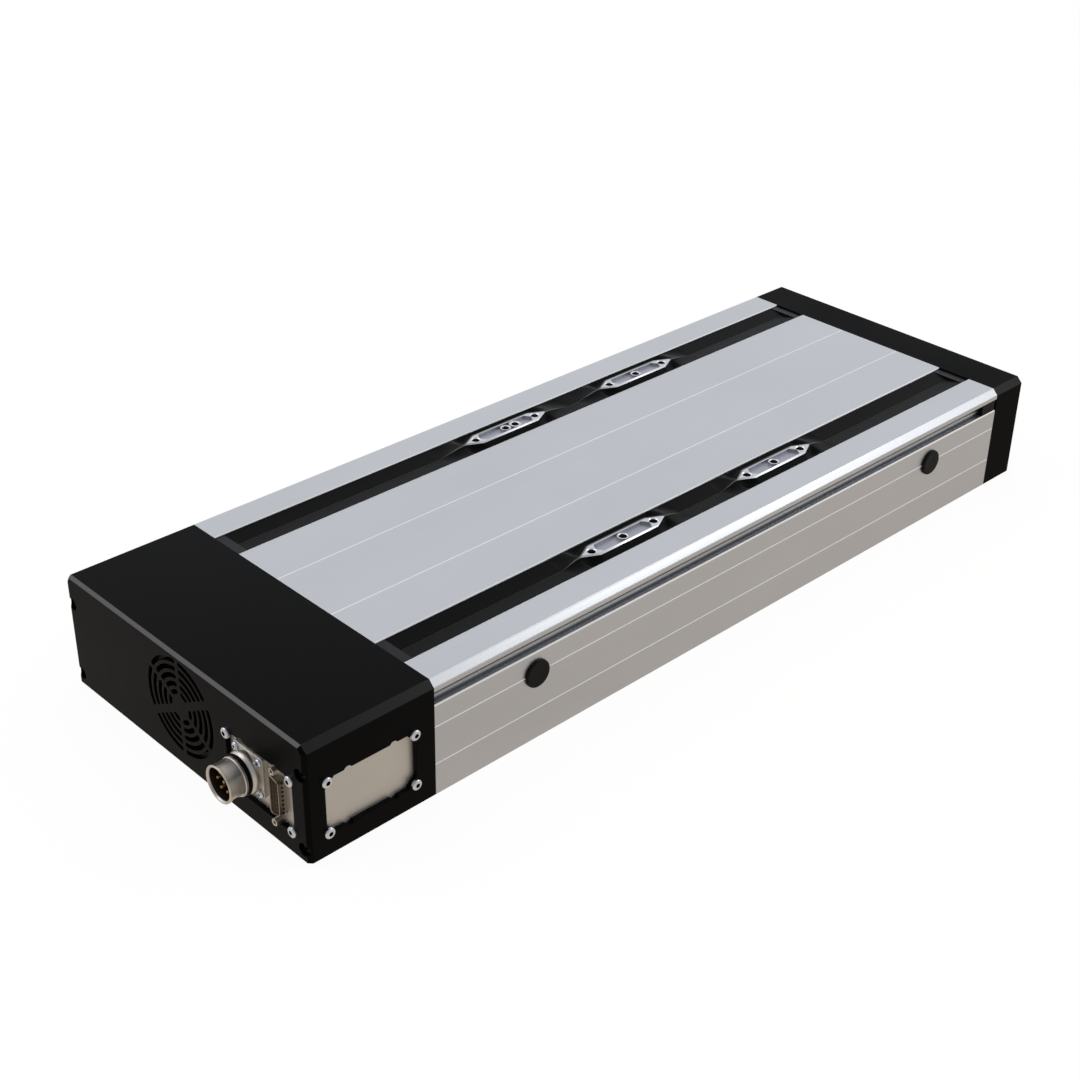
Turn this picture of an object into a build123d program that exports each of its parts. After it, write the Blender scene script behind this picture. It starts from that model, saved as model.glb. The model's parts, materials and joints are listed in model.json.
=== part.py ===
from build123d import *
import os
from math import cos, radians, sin

# Spindle-driven linear unit, in millimetres.
# X runs along the unit from the motor end to the far end, Y across it, Z up.
# The origin is the middle of the base profile's length, at the centre of its underside.

os.makedirs("parts", exist_ok=True)

# Outer size
unit_width = 225.0
unit_height = 75.0
profile_length = 520.0
motor_cover_length = 86.0
end_cap_length = 32.5
long_edge_chamfer = 4.0
end_edge_chamfer = 2.2

# Base profile
floor_thickness = 14.0
side_wall = 8.5
flange_thickness = 7.5
side_strip_width = 24.8
slot_width = 24.7
rib_stem = 8.0
seat_lip = 7.0
seat_slope = 6.0
rib_head = 5.0
t_slot_spacing = 150.0
t_slot_mouth = 8.2
t_slot_mouth_depth = 4.0
t_slot_chamber = 16.0
t_slot_chamber_depth = 5.5
side_groove_bottom = 60.0
side_groove_height = 8.0
side_groove_depth = 5.0
side_groove_bevel = 0.7
side_groove_ridge = 1.0
upper_score_height = 45.4
lower_score_height = 20.6
score_width = 0.8
score_depth = 0.15

# Centre cover
cover_plate_thickness = 4.0
cover_edge_width = 8.0
cover_edge_depth = 8.0
cover_score_offset = 25.0
cover_boss_offset = 30.0
cover_boss_width = 8.0
cover_boss_drop = 8.0

# Guides and spindle
guide_axis_height = 40.0
guide_offset = 22.0
guide_radius = 6.0
guide_running_gap = 0.05
spindle_axis_height = 34.0
spindle_radius = 8.0
spindle_running_gap = 0.05
bearing_journal_radius = 6.0
bearing_outer_radius = 16.0
fixed_bearing_width = 20.0
floating_bearing_width = 10.0

# Motor end
plate_thickness = 12.0
plate_clearance = 0.3
bearing_housing_length = 60.0
coupling_radius = 13.0
coupling_chamber_radius = 16.0
coupling_length = 28.0
coupling_slit = 2.0
coupling_gap = 0.3
bearing_setback = 2.0
lock_nut_length = 6.0
lock_nut_radius = 10.5
motor_side = 56.4
motor_length = 50.0
motor_flange = 5.0
motor_corner_cut = 16.0
motor_wall = 4.0
rotor_radius = 14.0
rotor_air_gap = 0.4
rotor_length = 38.0
rotor_end_gap = 1.0
motor_shaft_radius = 4.0
cover_wall = 3.0
screw_boss_wall = 1.0
screw_boss_length = 6.0

# Fan and its grille
fan_side = 60.0
fan_top_clearance = 1.5
fan_depth = 15.0
fan_bore_radius = 28.5
fan_blade_gap = 1.0
fan_rotor_gap = 0.8
fan_carrier_half = 10.5
fan_strut_width = 3.0
fan_strut_thickness = 3.0
fan_hub_radius = 12.0
fan_blades = 7
fan_blade_pitch = 40.0
fan_blade_width = 10.0
fan_blade_thickness = 1.2
grille_rings = 5
grille_first_radius = 9.3
grille_pitch = 5.05
grille_slot = 3.0
grille_narrow_spoke = 2.8
grille_wide_spoke = 4.8
grille_corner_cut = 0.8

# Windows in the motor cover
front_window_width = 58.0
side_window_width = 60.6
window_height = 36.0
window_corner_cut = 6.0
window_centre_height = 31.2
front_window_shift = 1.8
side_window_setback = 42.5
window_plate_thickness = 2.0
window_plate_margin = 2.4
window_plate_clearance = 0.6

# Round power connector
power_inset = 9.0
power_rise = 2.8
power_flange_side = 26.0
power_flange_thickness = 3.2
power_collar_radius = 12.4
power_collar_length = 6.0
power_barrel_radius = 11.0
power_barrel_end = 19.5
power_bore_radius = 9.4
power_insert_depth = 13.0
power_insert_thickness = 6.0
power_rear_length = 13.0
power_pin_radius = 1.0
power_pin_length = 10.0
power_pin_circle = 5.6
power_pins = 6

# Data connector
data_spacing = 30.6
data_flange_width = 12.5
data_flange_height = 39.2
data_flange_thickness = 1.0
data_shell_width = 8.4
data_shell_height = 25.0
data_shell_slant = 1.2
data_shell_wall = 0.5
data_shell_length = 5.0
data_contact_pitch = 2.77
data_row_spacing = 2.84
data_contact_size = 0.9
jack_post_spacing = 33.3
jack_post_radius = 2.4
jack_post_length = 7.0
jack_post_clearance = 0.4

# Carriage
shoe_length = 73.0
shoe_width = 12.0
shoe_taper = 12.0
shoe_stand = 1.0
shoe_rim = 1.3
shoe_tray_depth = 2.0
shoe_tray_length = 47.0
shoe_tray_taper = 3.0
shoe_boss_radius = 3.7
shoe_hole_radius = 2.5
shoe_hole_depth = 14.0
shoe_hole_spacing = 26.6
near_shoe_start = -79.0
near_shoe_spacing = 140.0
far_shoe_start = -35.5
far_shoe_spacing = 125.0
slide_length = 62.0
slide_cap_length = 4.0
slide_cap_gap = 0.3
slide_half_width = 18.0
slide_bottom = 28.0
carriage_plate_bottom = 51.0
carriage_plate_thickness = 8.0
carriage_arm_width = 44.0
carriage_web_start = -26.0
carriage_web_length = 60.0
nut_housing_length = 40.0
nut_housing_setback = 8.0
nut_housing_width = 46.0
nut_housing_bottom = 16.0
nut_body_radius = 14.0
nut_body_length = 37.0
nut_seat_gap = 0.1
nut_flange_half_width = 22.0
nut_flange_half_height = 16.0
nut_flange_thickness = 8.0
travel_back = 115.0
travel_forward = 105.0

# Sealing lips
lip_thickness = 1.4
lip_root_depth = 4.0
lip_root_height = 2.6
lip_root_top = 3.0
lip_edge_drop = 1.0
lip_meeting_drop = 2.6
lip_fit = 0.25
lip_end_clamp = 7.0
lens_reach = 20.0
lens_clearance = 0.5

# Plugs, sensors and electronics
plug_offset = 185.0
plug_head_radius = 9.5
plug_head_height = 2.0
sensor_length = 20.0
sensor_side_gap = 1.5
sensor_gap = 1.0
cam_drop = 7.0
groove_plug_length = 14.0
groove_plug_setback = 2.0
board_length = 53.0
board_thickness = 1.6
board_setback = 12.0
board_motor_gap = 7.8
board_side_clearance = 9.5
standoff_height = 5.0
standoff_radius = 2.5
board_part_gap = 4.0
power_stage_length = 28.0
power_stage_width = 22.0
power_stage_height = 12.0
plug_strip_width = 8.0
plug_strip_length = 36.0
plug_strip_height = 9.0
capacitor_radius = 5.0
capacitor_height = 16.0

# Corner screw recesses
counterbore_radius = 4.0
counterbore_depth = 6.0
corner_screw_inset = 4.9
corner_screw_low = 7.5
corner_screw_high = 56.0

# Sides of the parts that have flats
hexagon = 6
octagon = 8
boss_sides = 12
magnet_sides = 16
insert_sides = 24

# Tolerance for picking an edge that lies in a plane
pick = 0.01

# Derived places
half_width = unit_width / 2
half_length = profile_length / 2
cover_front = -half_length - motor_cover_length
plate_front = -half_length - plate_thickness
cap_end = half_length + end_cap_length
cover_half_width = half_width - side_strip_width - slot_width
flange_edge = half_width - side_strip_width
slot_centre = cover_half_width + slot_width / 2
inner_guide = slot_centre - guide_offset
outer_guide = slot_centre + guide_offset
wall_inner = half_width - side_wall
rib_inner = inner_guide - rib_head - rib_stem
corner_screw_y = half_width - corner_screw_inset
groove_back = half_width - side_groove_depth
carriage_plate_top = carriage_plate_bottom + carriage_plate_thickness
shoe_top = unit_height + shoe_stand
housing_end = -half_length + bearing_housing_length
fixed_bearing_start = housing_end - fixed_bearing_width
lock_nut_start = fixed_bearing_start - lock_nut_length
coupling_start = lock_nut_start - coupling_gap - coupling_length
floating_bearing_start = half_length + bearing_setback
nut_flange_start = carriage_web_start + nut_housing_setback + nut_housing_length
connector_face = cover_front + cover_wall
side_window_x = cover_front + side_window_setback
cavity_half_width = half_width - cover_wall
cavity_top = unit_height - cover_wall
fan_axis_height = cavity_top - fan_top_clearance - fan_side / 2
boss_inner_y = corner_screw_y - counterbore_radius - screw_boss_wall
front_window_y = -(fan_side / 2 + cavity_half_width) / 2 - front_window_shift
power_y = front_window_y + power_inset
power_z = window_centre_height + power_rise
data_y = front_window_y - data_spacing / 2
data_z = window_centre_height
sensor_low = nut_housing_width / 2 + sensor_side_gap
sensor_high = rib_inner - sensor_side_gap
board_near = motor_side / 2 + board_motor_gap
board_far = cavity_half_width - board_side_clearance
shoe_places = {
    "near_1": (near_shoe_start, -slot_centre),
    "near_2": (near_shoe_start + near_shoe_spacing, -slot_centre),
    "far_1": (far_shoe_start, slot_centre),
    "far_2": (far_shoe_start + far_shoe_spacing, slot_centre),
}


def rectangle_between(y_low, y_high, z_low, z_high):
    """A flat rectangle in the cross-section, from its limits across and up."""
    middle = Pos((y_low + y_high) / 2, (z_low + z_high) / 2)
    return middle * Rectangle(y_high - y_low, z_high - z_low)


def outline(*points):
    """A flat face in the cross-section through its corner points."""
    return make_face(Polyline(*points, close=True))


def disc(radius, y, z):
    return Pos(y, z) * Circle(radius)


def both_sides(section):
    """The section and its mirror image across the unit's middle plane."""
    return section + mirror(section, about=Plane.YZ)


def group(pieces):
    """Several separate solids in one node."""
    return Compound([solid for piece in pieces for solid in piece.solids()])


def along_x(section, x_low, x_high):
    """Extrudes a cross-section along the unit."""
    return extrude(Plane.YZ.offset(x_low) * section, amount=x_high - x_low)


def block(x_low, x_high, y_low, y_high, z_low, z_high):
    return along_x(rectangle_between(y_low, y_high, z_low, z_high), x_low, x_high)


def rod(radius, x_low, x_high, y, z):
    return along_x(disc(radius, y, z), x_low, x_high)


def upright(radius, x, y, z_low, z_high):
    """A vertical cylinder."""
    return Pos(x, y, (z_low + z_high) / 2) * Cylinder(radius, z_high - z_low)


def crossways(radius, x, z, y_low, y_high):
    """A cylinder that lies across the unit."""
    return Pos(x, (y_low + y_high) / 2, z) * Rot(90, 0, 0) * Cylinder(radius, y_high - y_low)


def corner_places():
    """Screw places near the four corners of the cross-section."""
    return [
        (side * corner_screw_y, height)
        for side in (-1, 1)
        for height in (corner_screw_low, corner_screw_high)
    ]


def body_outline():
    """The outline that the profile, the motor cover and the end cap share."""
    return outline(
        (-half_width, 0),
        (half_width, 0),
        (half_width, unit_height - long_edge_chamfer),
        (half_width - long_edge_chamfer, unit_height),
        (-half_width + long_edge_chamfer, unit_height),
        (-half_width, unit_height - long_edge_chamfer),
    )


def score(y, z, along_top):
    """A shallow V-shaped line cut into a flat face of an extrusion."""
    half = score_width / 2
    if along_top:
        return outline((y - half, z), (y + half, z), (y, z - score_depth))
    return outline((y, z - half), (y, z + half), (y - score_depth, z))


def lip_groove(edge, inward):
    """The groove that holds a sealing lip's root, cut into the metal at edge."""
    top = unit_height - lip_root_top
    low, high = sorted((edge, edge + inward * lip_root_depth))
    return rectangle_between(low, high, top - lip_root_height, top)


def guide_seat(axis, body):
    """The wedge of metal that carries a guide shaft, from the body out to the shaft's axis."""
    return outline(
        (body, guide_axis_height + seat_lip),
        (axis, guide_axis_height + seat_lip),
        (axis, guide_axis_height - seat_lip),
        (body, guide_axis_height - seat_lip - seat_slope),
    )


def base_profile():
    floor = rectangle_between(0, half_width, 0, floor_thickness)
    wall = rectangle_between(wall_inner, half_width, 0, unit_height)
    flange = rectangle_between(flange_edge, half_width, unit_height - flange_thickness, unit_height)
    rib = rectangle_between(rib_inner, rib_inner + rib_stem, 0, guide_axis_height + seat_lip)
    half = floor + wall + flange + rib
    half += guide_seat(inner_guide, rib_inner) + guide_seat(outer_guide, wall_inner)
    half -= disc(guide_radius, inner_guide, guide_axis_height)
    half -= disc(guide_radius, outer_guide, guide_axis_height)
    half -= outline(
        (half_width, unit_height - long_edge_chamfer),
        (half_width, unit_height),
        (half_width - long_edge_chamfer, unit_height),
    )
    half -= lip_groove(flange_edge, 1)
    half -= side_groove()
    half -= t_slot()
    half -= score(half_width, upper_score_height, False)
    half -= score(half_width, lower_score_height, False)
    return along_x(both_sides(half), -half_length, half_length)


def side_groove():
    """The clamping groove along the side, with a bevelled lower lip and a ridge at its back."""
    top = side_groove_bottom + side_groove_height
    middle = side_groove_bottom + side_groove_height / 2
    groove = outline(
        (groove_back, side_groove_bottom),
        (half_width - side_groove_bevel, side_groove_bottom),
        (half_width, side_groove_bottom - side_groove_bevel),
        (half_width, top),
        (groove_back, top),
    )
    half_ridge = side_groove_ridge / 2
    back = groove_back + side_groove_ridge
    return groove - rectangle_between(groove_back, back, middle - half_ridge, middle + half_ridge)


def t_slot():
    """A slot for sliding nuts in the underside."""
    centre = t_slot_spacing / 2
    mouth = t_slot_mouth / 2
    chamber = t_slot_chamber / 2
    depth = t_slot_mouth_depth + t_slot_chamber_depth
    return rectangle_between(centre - mouth, centre + mouth, 0, depth) + rectangle_between(
        centre - chamber, centre + chamber, t_slot_mouth_depth, depth
    )


def plug_places():
    return [(side, x) for side in (-1, 1) for x in (-plug_offset, plug_offset)]


def cover_profile():
    """The centre cover between the two slots, carried at its ends."""
    plate_low = unit_height - cover_plate_thickness
    plate = rectangle_between(0, cover_half_width, plate_low, unit_height)
    edge_inner = cover_half_width - cover_edge_width
    edge = rectangle_between(edge_inner, cover_half_width, unit_height - cover_edge_depth, unit_height)
    boss_half = cover_boss_width / 2
    boss = rectangle_between(
        cover_boss_offset - boss_half,
        cover_boss_offset + boss_half,
        plate_low - cover_boss_drop,
        unit_height - cover_plate_thickness / 2,
    )
    half = plate + edge + boss - lip_groove(cover_half_width, -1)
    half -= score(cover_score_offset, unit_height, True)
    return along_x(both_sides(half), -half_length, half_length)


def guide_shafts():
    places = [(side * offset, guide_axis_height) for side in (-1, 1) for offset in (inner_guide, outer_guide)]
    return group([rod(guide_radius, -half_length, half_length, y, z) for y, z in places])


def motor_plate():
    """The plate behind the motor that closes the profile and carries the bearing housing."""
    reach = boss_inner_y - plate_clearance
    section = rectangle_between(
        -reach, reach, cover_wall + plate_clearance, cavity_top - plate_clearance
    )
    section -= disc(coupling_chamber_radius, 0, spindle_axis_height)
    return along_x(section, plate_front, -half_length)


def bearing_housing():
    """The block on the floor that holds the fixed bearing."""
    half = spindle_axis_height - floor_thickness
    section = rectangle_between(-half, half, floor_thickness, spindle_axis_height + half)
    section -= disc(bearing_outer_radius, 0, spindle_axis_height)
    return along_x(section, -half_length, housing_end)


def bearing(start, width):
    """A sealed bearing: its bore runs on the spindle's journal, its rim sits in a housing."""
    ring = disc(bearing_outer_radius, 0, spindle_axis_height)
    ring -= disc(bearing_journal_radius + spindle_running_gap, 0, spindle_axis_height)
    return along_x(ring, start, start + width)


def spindle_bearings():
    """The double-row bearing at the motor end and the single one in the end cap."""
    return group([
        bearing(fixed_bearing_start, fixed_bearing_width),
        bearing(floating_bearing_start, floating_bearing_width),
    ])


def end_cap():
    """The solid block that closes the far end and carries the floating bearing."""
    cap = along_x(body_outline(), half_length, cap_end)
    outer = cap.edges().filter_by_position(Axis.X, cap_end - pick, cap_end + pick)
    cap = chamfer([edge for edge in outer if edge.center().Z > pick], end_edge_chamfer)
    bore_end = floating_bearing_start + floating_bearing_width
    return cap - rod(bearing_outer_radius, half_length, bore_end, 0, spindle_axis_height)


def grille_slots():
    """Rings of curved slots with blunted ends, cut by six spokes."""
    slots = Sketch()
    spokes = ((30, grille_narrow_spoke), (90, grille_narrow_spoke), (150, grille_wide_spoke))
    for ring in range(grille_rings):
        middle = grille_first_radius + ring * grille_pitch
        outer = disc(middle + grille_slot / 2, 0, fan_axis_height)
        slots += outer - disc(middle - grille_slot / 2, 0, fan_axis_height)
    for angle, width in spokes:
        slots -= Pos(0, fan_axis_height) * Rot(0, 0, angle) * Rectangle(2 * fan_side, width)
    return chamfer(slots.vertices(), grille_corner_cut)


def window_opening(width):
    """A window with its corners cut off for the screws, and with room for two data connectors' posts."""
    opening = Rectangle(width, window_height)
    opening = chamfer(opening.vertices(), window_corner_cut)
    for y in (-data_spacing / 2, data_spacing / 2):
        for z in (-jack_post_spacing / 2, jack_post_spacing / 2):
            opening += disc(jack_post_radius + jack_post_clearance, y, z)
    return opening


def screw_boss(y, z):
    """A square boss behind the motor cover's front wall, where a long corner screw has its head."""
    reach = counterbore_radius + screw_boss_wall
    side = 1 if y > 0 else -1
    low, high = sorted((y - side * reach, side * (half_width - cover_wall / 2)))
    section = rectangle_between(low, high, max(z - reach, cover_wall / 2), z + reach)
    return along_x(section, cover_front + cover_wall / 2, cover_front + cover_wall + screw_boss_length)


def motor_cover():
    shell = along_x(body_outline(), cover_front, -half_length)
    front = shell.edges().filter_by_position(Axis.X, cover_front - pick, cover_front + pick)
    shell = chamfer([edge for edge in front if edge.center().Z > pick], end_edge_chamfer)
    cavity = rectangle_between(-cavity_half_width, cavity_half_width, cover_wall, cavity_top)
    shell -= along_x(cavity, cover_front + cover_wall, -half_length)
    for y, z in corner_places():
        shell += screw_boss(y, z)
        shell -= rod(counterbore_radius, cover_front, cover_front + counterbore_depth, y, z)
    shell -= along_x(grille_slots(), cover_front, cover_front + cover_wall)
    front_window = Pos(front_window_y, window_centre_height) * window_opening(front_window_width)
    shell -= along_x(front_window, cover_front, cover_front + cover_wall)
    side_window = side_window_plane(half_width) * window_opening(side_window_width)
    return shell - extrude(side_window, amount=-cover_wall)


def side_window_plane(distance):
    """The plane of the side window, facing out, at a distance from the unit's middle plane."""
    return Plane(origin=(side_window_x, -distance, window_centre_height), x_dir=(1, 0, 0), z_dir=(0, -1, 0))


def side_cover_plate():
    """The blank plate behind the side window."""
    plane = side_window_plane(cavity_half_width)
    plate = Rectangle(side_window_width + 2 * window_plate_margin, window_height + 2 * window_plate_margin)
    return extrude(plane * plate, amount=-window_plate_thickness)


def connector_plate():
    """The plate behind the front window, which fills the bay from the fan to the corner screws."""
    section = rectangle_between(
        -boss_inner_y + window_plate_clearance,
        -fan_side / 2 - window_plate_clearance,
        window_centre_height - window_height / 2 - window_plate_margin,
        window_centre_height + window_height / 2 + window_plate_margin,
    )
    section -= power_back_outline()
    section -= Pos(data_y, data_z) * data_outline(0)
    return along_x(section, connector_face, connector_face + window_plate_thickness)


def power_connector_shell():
    """The connector's metal shell: a square flange, a collar, the barrel and an eight-sided back."""
    flange = Pos(power_y, power_z) * Rectangle(power_flange_side, power_flange_side)
    front = connector_face - power_flange_thickness
    collar_end = front - power_collar_length
    rim = cover_front - power_barrel_end
    back = connector_face + window_plate_thickness + power_rear_length
    seat = rim + power_insert_depth + power_insert_thickness
    shell = along_x(flange, front, connector_face)
    shell += rod(power_collar_radius, collar_end, front, power_y, power_z)
    shell += rod(power_barrel_radius, rim, collar_end, power_y, power_z)
    shell += along_x(power_back_outline(), connector_face, back)
    return shell - rod(power_bore_radius, rim, seat, power_y, power_z)


def power_back_outline():
    return Pos(power_y, power_z) * RegularPolygon(power_barrel_radius, octagon)


def power_pin_places():
    ring = [
        (
            power_y + power_pin_circle * cos(radians(360 * n / power_pins)),
            power_z + power_pin_circle * sin(radians(360 * n / power_pins)),
        )
        for n in range(power_pins)
    ]
    return ring + [(power_y, power_z)]


def power_connector_insert():
    front = cover_front - power_barrel_end + power_insert_depth
    section = Pos(power_y, power_z) * RegularPolygon(power_bore_radius, insert_sides)
    return along_x(section, front, front + power_insert_thickness)


def power_connector_pins():
    front = cover_front - power_barrel_end + power_insert_depth
    pin = RegularPolygon(power_pin_radius, octagon)
    pins = [along_x(Pos(y, z) * pin, front - power_pin_length, front) for y, z in power_pin_places()]
    return group(pins)


def data_outline(grow):
    """The slanted outline of the data connector's shell, standing on end."""
    half_high = data_shell_height / 2 + grow
    half_wide = data_shell_width / 2 + grow
    return outline(
        (half_wide, -half_high),
        (-half_wide, -half_high + data_shell_slant),
        (-half_wide, half_high - data_shell_slant),
        (half_wide, half_high),
    )


def data_connector_shell():
    flange = rectangle_between(
        data_y - data_flange_width / 2,
        data_y + data_flange_width / 2,
        data_z - data_flange_height / 2,
        data_z + data_flange_height / 2,
    )
    place = Pos(data_y, data_z)
    inner = place * data_outline(-data_shell_wall)
    back = connector_face + window_plate_thickness
    shell = along_x(flange - inner, back, back + data_flange_thickness)
    return shell + along_x(place * data_outline(0) - inner, connector_face - data_shell_length, back)


def data_connector_insert():
    place = Pos(data_y, data_z)
    front = connector_face - data_shell_length + data_shell_wall
    back = connector_face + window_plate_thickness + data_shell_length
    return along_x(place * data_outline(-data_shell_wall), front, back)


def data_contacts():
    """Two rows of square contacts, flush with the insert's face."""
    front = connector_face - data_shell_length + data_shell_wall
    half = data_contact_size / 2
    contacts = []
    for count, side in ((8, 1), (7, -1)):
        y = data_y + side * data_row_spacing / 2
        for n in range(count):
            z = data_z + (n - (count - 1) / 2) * data_contact_pitch
            contacts.append(block(front - half / 2, front, y - half, y + half, z - half, z + half))
    return group(contacts)


def jack_posts():
    front = connector_face
    nut = RegularPolygon(jack_post_radius, hexagon)
    posts = []
    for side in (-1, 1):
        place = Pos(data_y, data_z + side * jack_post_spacing / 2)
        posts.append(along_x(place * nut, front - jack_post_length, front))
    return group(posts)


def fan_frame():
    half = fan_side / 2
    high = connector_face + fan_depth
    section = rectangle_between(-half, half, fan_axis_height - half, fan_axis_height + half)
    section -= disc(fan_bore_radius, 0, fan_axis_height)
    carrier = Rectangle(2 * fan_carrier_half, 2 * fan_carrier_half)
    strut = Rectangle(2 * fan_bore_radius + fan_strut_width / 2, fan_strut_width)
    carrier += Rot(0, 0, 45) * strut + Rot(0, 0, -45) * strut
    frame = along_x(section, connector_face, high)
    return frame + along_x(Pos(0, fan_axis_height) * carrier, high - fan_strut_thickness, high)


def fan_rotor():
    """A hub with pitched blades."""
    low = connector_face + fan_rotor_gap
    high = connector_face + fan_depth - fan_strut_thickness - fan_rotor_gap
    rotor = along_x(Pos(0, fan_axis_height) * RegularPolygon(fan_hub_radius, 2 * fan_blades), low, high)
    root = fan_hub_radius - fan_blade_thickness
    tip = fan_bore_radius - fan_blade_gap
    plate = Rot(0, 0, fan_blade_pitch) * Box(fan_blade_width, fan_blade_thickness, tip - root)
    for n in range(fan_blades):
        blade = Rot(360 * n / fan_blades, 0, 0) * Pos(0, 0, (root + tip) / 2) * plate
        rotor += Pos((low + high) / 2, 0, fan_axis_height) * blade
    return rotor


def motor_stator():
    """The motor's housing: a square flange and an eight-sided body, bored out for the rotor."""
    back = plate_front - motor_length
    flange_start = plate_front - motor_flange
    square = Pos(0, spindle_axis_height) * Rectangle(motor_side, motor_side)
    body = chamfer(square.vertices(), motor_corner_cut)
    stator = along_x(body, back, flange_start) + along_x(square, flange_start, plate_front)
    return stator - rod(rotor_radius + rotor_air_gap, back + motor_wall, plate_front, 0, spindle_axis_height)


def motor_rotor():
    """The motor's shaft and rotor, which turn the coupling."""
    rotor_start = plate_front - motor_length + motor_wall + rotor_end_gap
    shaft_end = coupling_start + (coupling_length - coupling_slit) / 2
    magnets = Pos(0, spindle_axis_height) * RegularPolygon(rotor_radius, magnet_sides)
    rotor = along_x(magnets, rotor_start, rotor_start + rotor_length)
    return rotor + rod(motor_shaft_radius, rotor_start + rotor_length, shaft_end, 0, spindle_axis_height)


def shaft_coupling():
    """A slit, eight-sided clamping sleeve that joins the motor shaft to the spindle."""
    z = spindle_axis_height
    middle = coupling_start + coupling_length / 2
    end = coupling_start + coupling_length
    sleeve = Pos(0, z) * RegularPolygon(coupling_radius, octagon)
    sleeve -= rectangle_between(-coupling_slit / 2, coupling_slit / 2, z, z + coupling_radius)
    motor_half = along_x(sleeve - disc(motor_shaft_radius, 0, z), coupling_start, middle)
    return motor_half + along_x(sleeve - disc(bearing_journal_radius, 0, z), middle, end)


def lock_nut():
    """The six-sided nut that clamps the fixed bearing on the spindle."""
    section = Pos(0, spindle_axis_height) * RegularPolygon(lock_nut_radius, hexagon)
    section -= disc(bearing_journal_radius, 0, spindle_axis_height)
    return along_x(section, lock_nut_start, fixed_bearing_start)


def spindle():
    """The ball screw: a plain core with a slimmer journal at each end."""
    z = spindle_axis_height
    journal_start = coupling_start + (coupling_length + coupling_slit) / 2
    tail = floating_bearing_start + floating_bearing_width - bearing_setback
    screw = rod(bearing_journal_radius, journal_start, housing_end, 0, z)
    screw += rod(spindle_radius, housing_end, floating_bearing_start, 0, z)
    return screw + rod(bearing_journal_radius, floating_bearing_start, tail, 0, z)


def ball_nut():
    """The nut that the spindle drives, with a flat-sided flange against its housing."""
    z = spindle_axis_height
    start = nut_flange_start - nut_body_length
    end = nut_flange_start + nut_flange_thickness
    flange = rectangle_between(
        -nut_flange_half_width, nut_flange_half_width, z - nut_flange_half_height, z + nut_flange_half_height
    )
    body = Pos(0, z) * RegularPolygon(nut_body_radius, octagon)
    nut = along_x(body, start, nut_flange_start) + along_x(flange, nut_flange_start, end)
    return nut - rod(spindle_radius + spindle_running_gap, start, end, 0, z)


def nut_housing():
    half = nut_housing_width / 2
    section = rectangle_between(-half, half, nut_housing_bottom, carriage_plate_bottom)
    section -= Pos(0, spindle_axis_height) * RegularPolygon(nut_body_radius + nut_seat_gap, octagon)
    return along_x(section, nut_flange_start - nut_housing_length, nut_flange_start)


def slide_section():
    """The section of a shaft slide, hollowed at both sides for the guide shafts."""
    section = rectangle_between(
        -slide_half_width, slide_half_width, slide_bottom, carriage_plate_bottom
    )
    for side in (-1, 1):
        section -= disc(guide_radius + guide_running_gap, side * guide_offset, guide_axis_height)
    return section


def shaft_slide(x, y):
    return Pos(0, y, 0) * along_x(slide_section(), x - slide_length / 2, x + slide_length / 2)


def slide_end_caps():
    """Plastic caps that turn the balls round at both ends of each shaft slide."""
    half = guide_offset - guide_radius - slide_cap_gap
    caps = []
    for x, y in shoe_places.values():
        for side in (-1, 1):
            near = x + side * slide_length / 2
            low, high = sorted((near, near + side * slide_cap_length))
            caps.append(block(low, high, y - half, y + half, slide_bottom, carriage_plate_bottom))
    return group(caps)


def carriage_plate():
    """The plate that joins the four shaft slides and the spindle nut into one carriage."""
    arm_inner = slot_centre + slide_half_width - carriage_arm_width
    arm_outer = slot_centre + slide_half_width
    web = Rectangle(carriage_web_length, 2 * arm_outer)
    plate = Pos(carriage_web_start + carriage_web_length / 2, 0) * web
    reach = shoe_length / 2
    for side, start, spacing in (
        (-1, near_shoe_start, near_shoe_spacing),
        (1, far_shoe_start, far_shoe_spacing),
    ):
        arm = Rectangle(spacing + 2 * reach, arm_outer - arm_inner)
        plate += Pos(start + spacing / 2, side * (arm_inner + arm_outer) / 2) * arm
    return extrude(Plane.XY.offset(carriage_plate_bottom) * plate, amount=carriage_plate_thickness)


def boat(length, width, taper):
    """A slim six-sided outline that points both ways along the unit."""
    half = length / 2
    side = width / 2
    return outline(
        (-half, 0),
        (-half + taper, -side),
        (half - taper, -side),
        (half, 0),
        (half - taper, side),
        (-half + taper, side),
    )


def carriage_shoe(x, y):
    """The bar that stands out of a slot: three threaded holes, the middle one on a boss in a tray."""
    shoe = extrude(
        Plane.XY.offset(carriage_plate_top) * Pos(x, y) * boat(shoe_length, shoe_width, shoe_taper),
        amount=shoe_top - carriage_plate_top,
    )
    tray = boat(shoe_tray_length, shoe_width - 2 * shoe_rim, shoe_tray_taper)
    tray -= RegularPolygon(shoe_boss_radius, boss_sides)
    shoe -= extrude(Plane.XY.offset(shoe_top - shoe_tray_depth) * Pos(x, y) * tray, amount=shoe_tray_depth)
    for n in (-1, 0, 1):
        shoe -= upright(shoe_hole_radius, x + n * shoe_hole_spacing, y, shoe_top - shoe_hole_depth, shoe_top)
    return shoe


def switch_cam():
    """The flag under the carriage plate that the two sensors notice."""
    x = carriage_web_start
    top = carriage_plate_bottom
    return block(x, x + sensor_length, -sensor_high, -sensor_low, top - cam_drop, top)


def reference_sensors():
    """Two sensors on the floor, one under the cam at each end of the travel."""
    top = carriage_plate_bottom - cam_drop - sensor_gap
    sensors = []
    for travel in (-travel_back, travel_forward):
        x = carriage_web_start + travel
        sensors.append(block(x, x + sensor_length, -sensor_high, -sensor_low, floor_thickness, top))
    return group(sensors)


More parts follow.
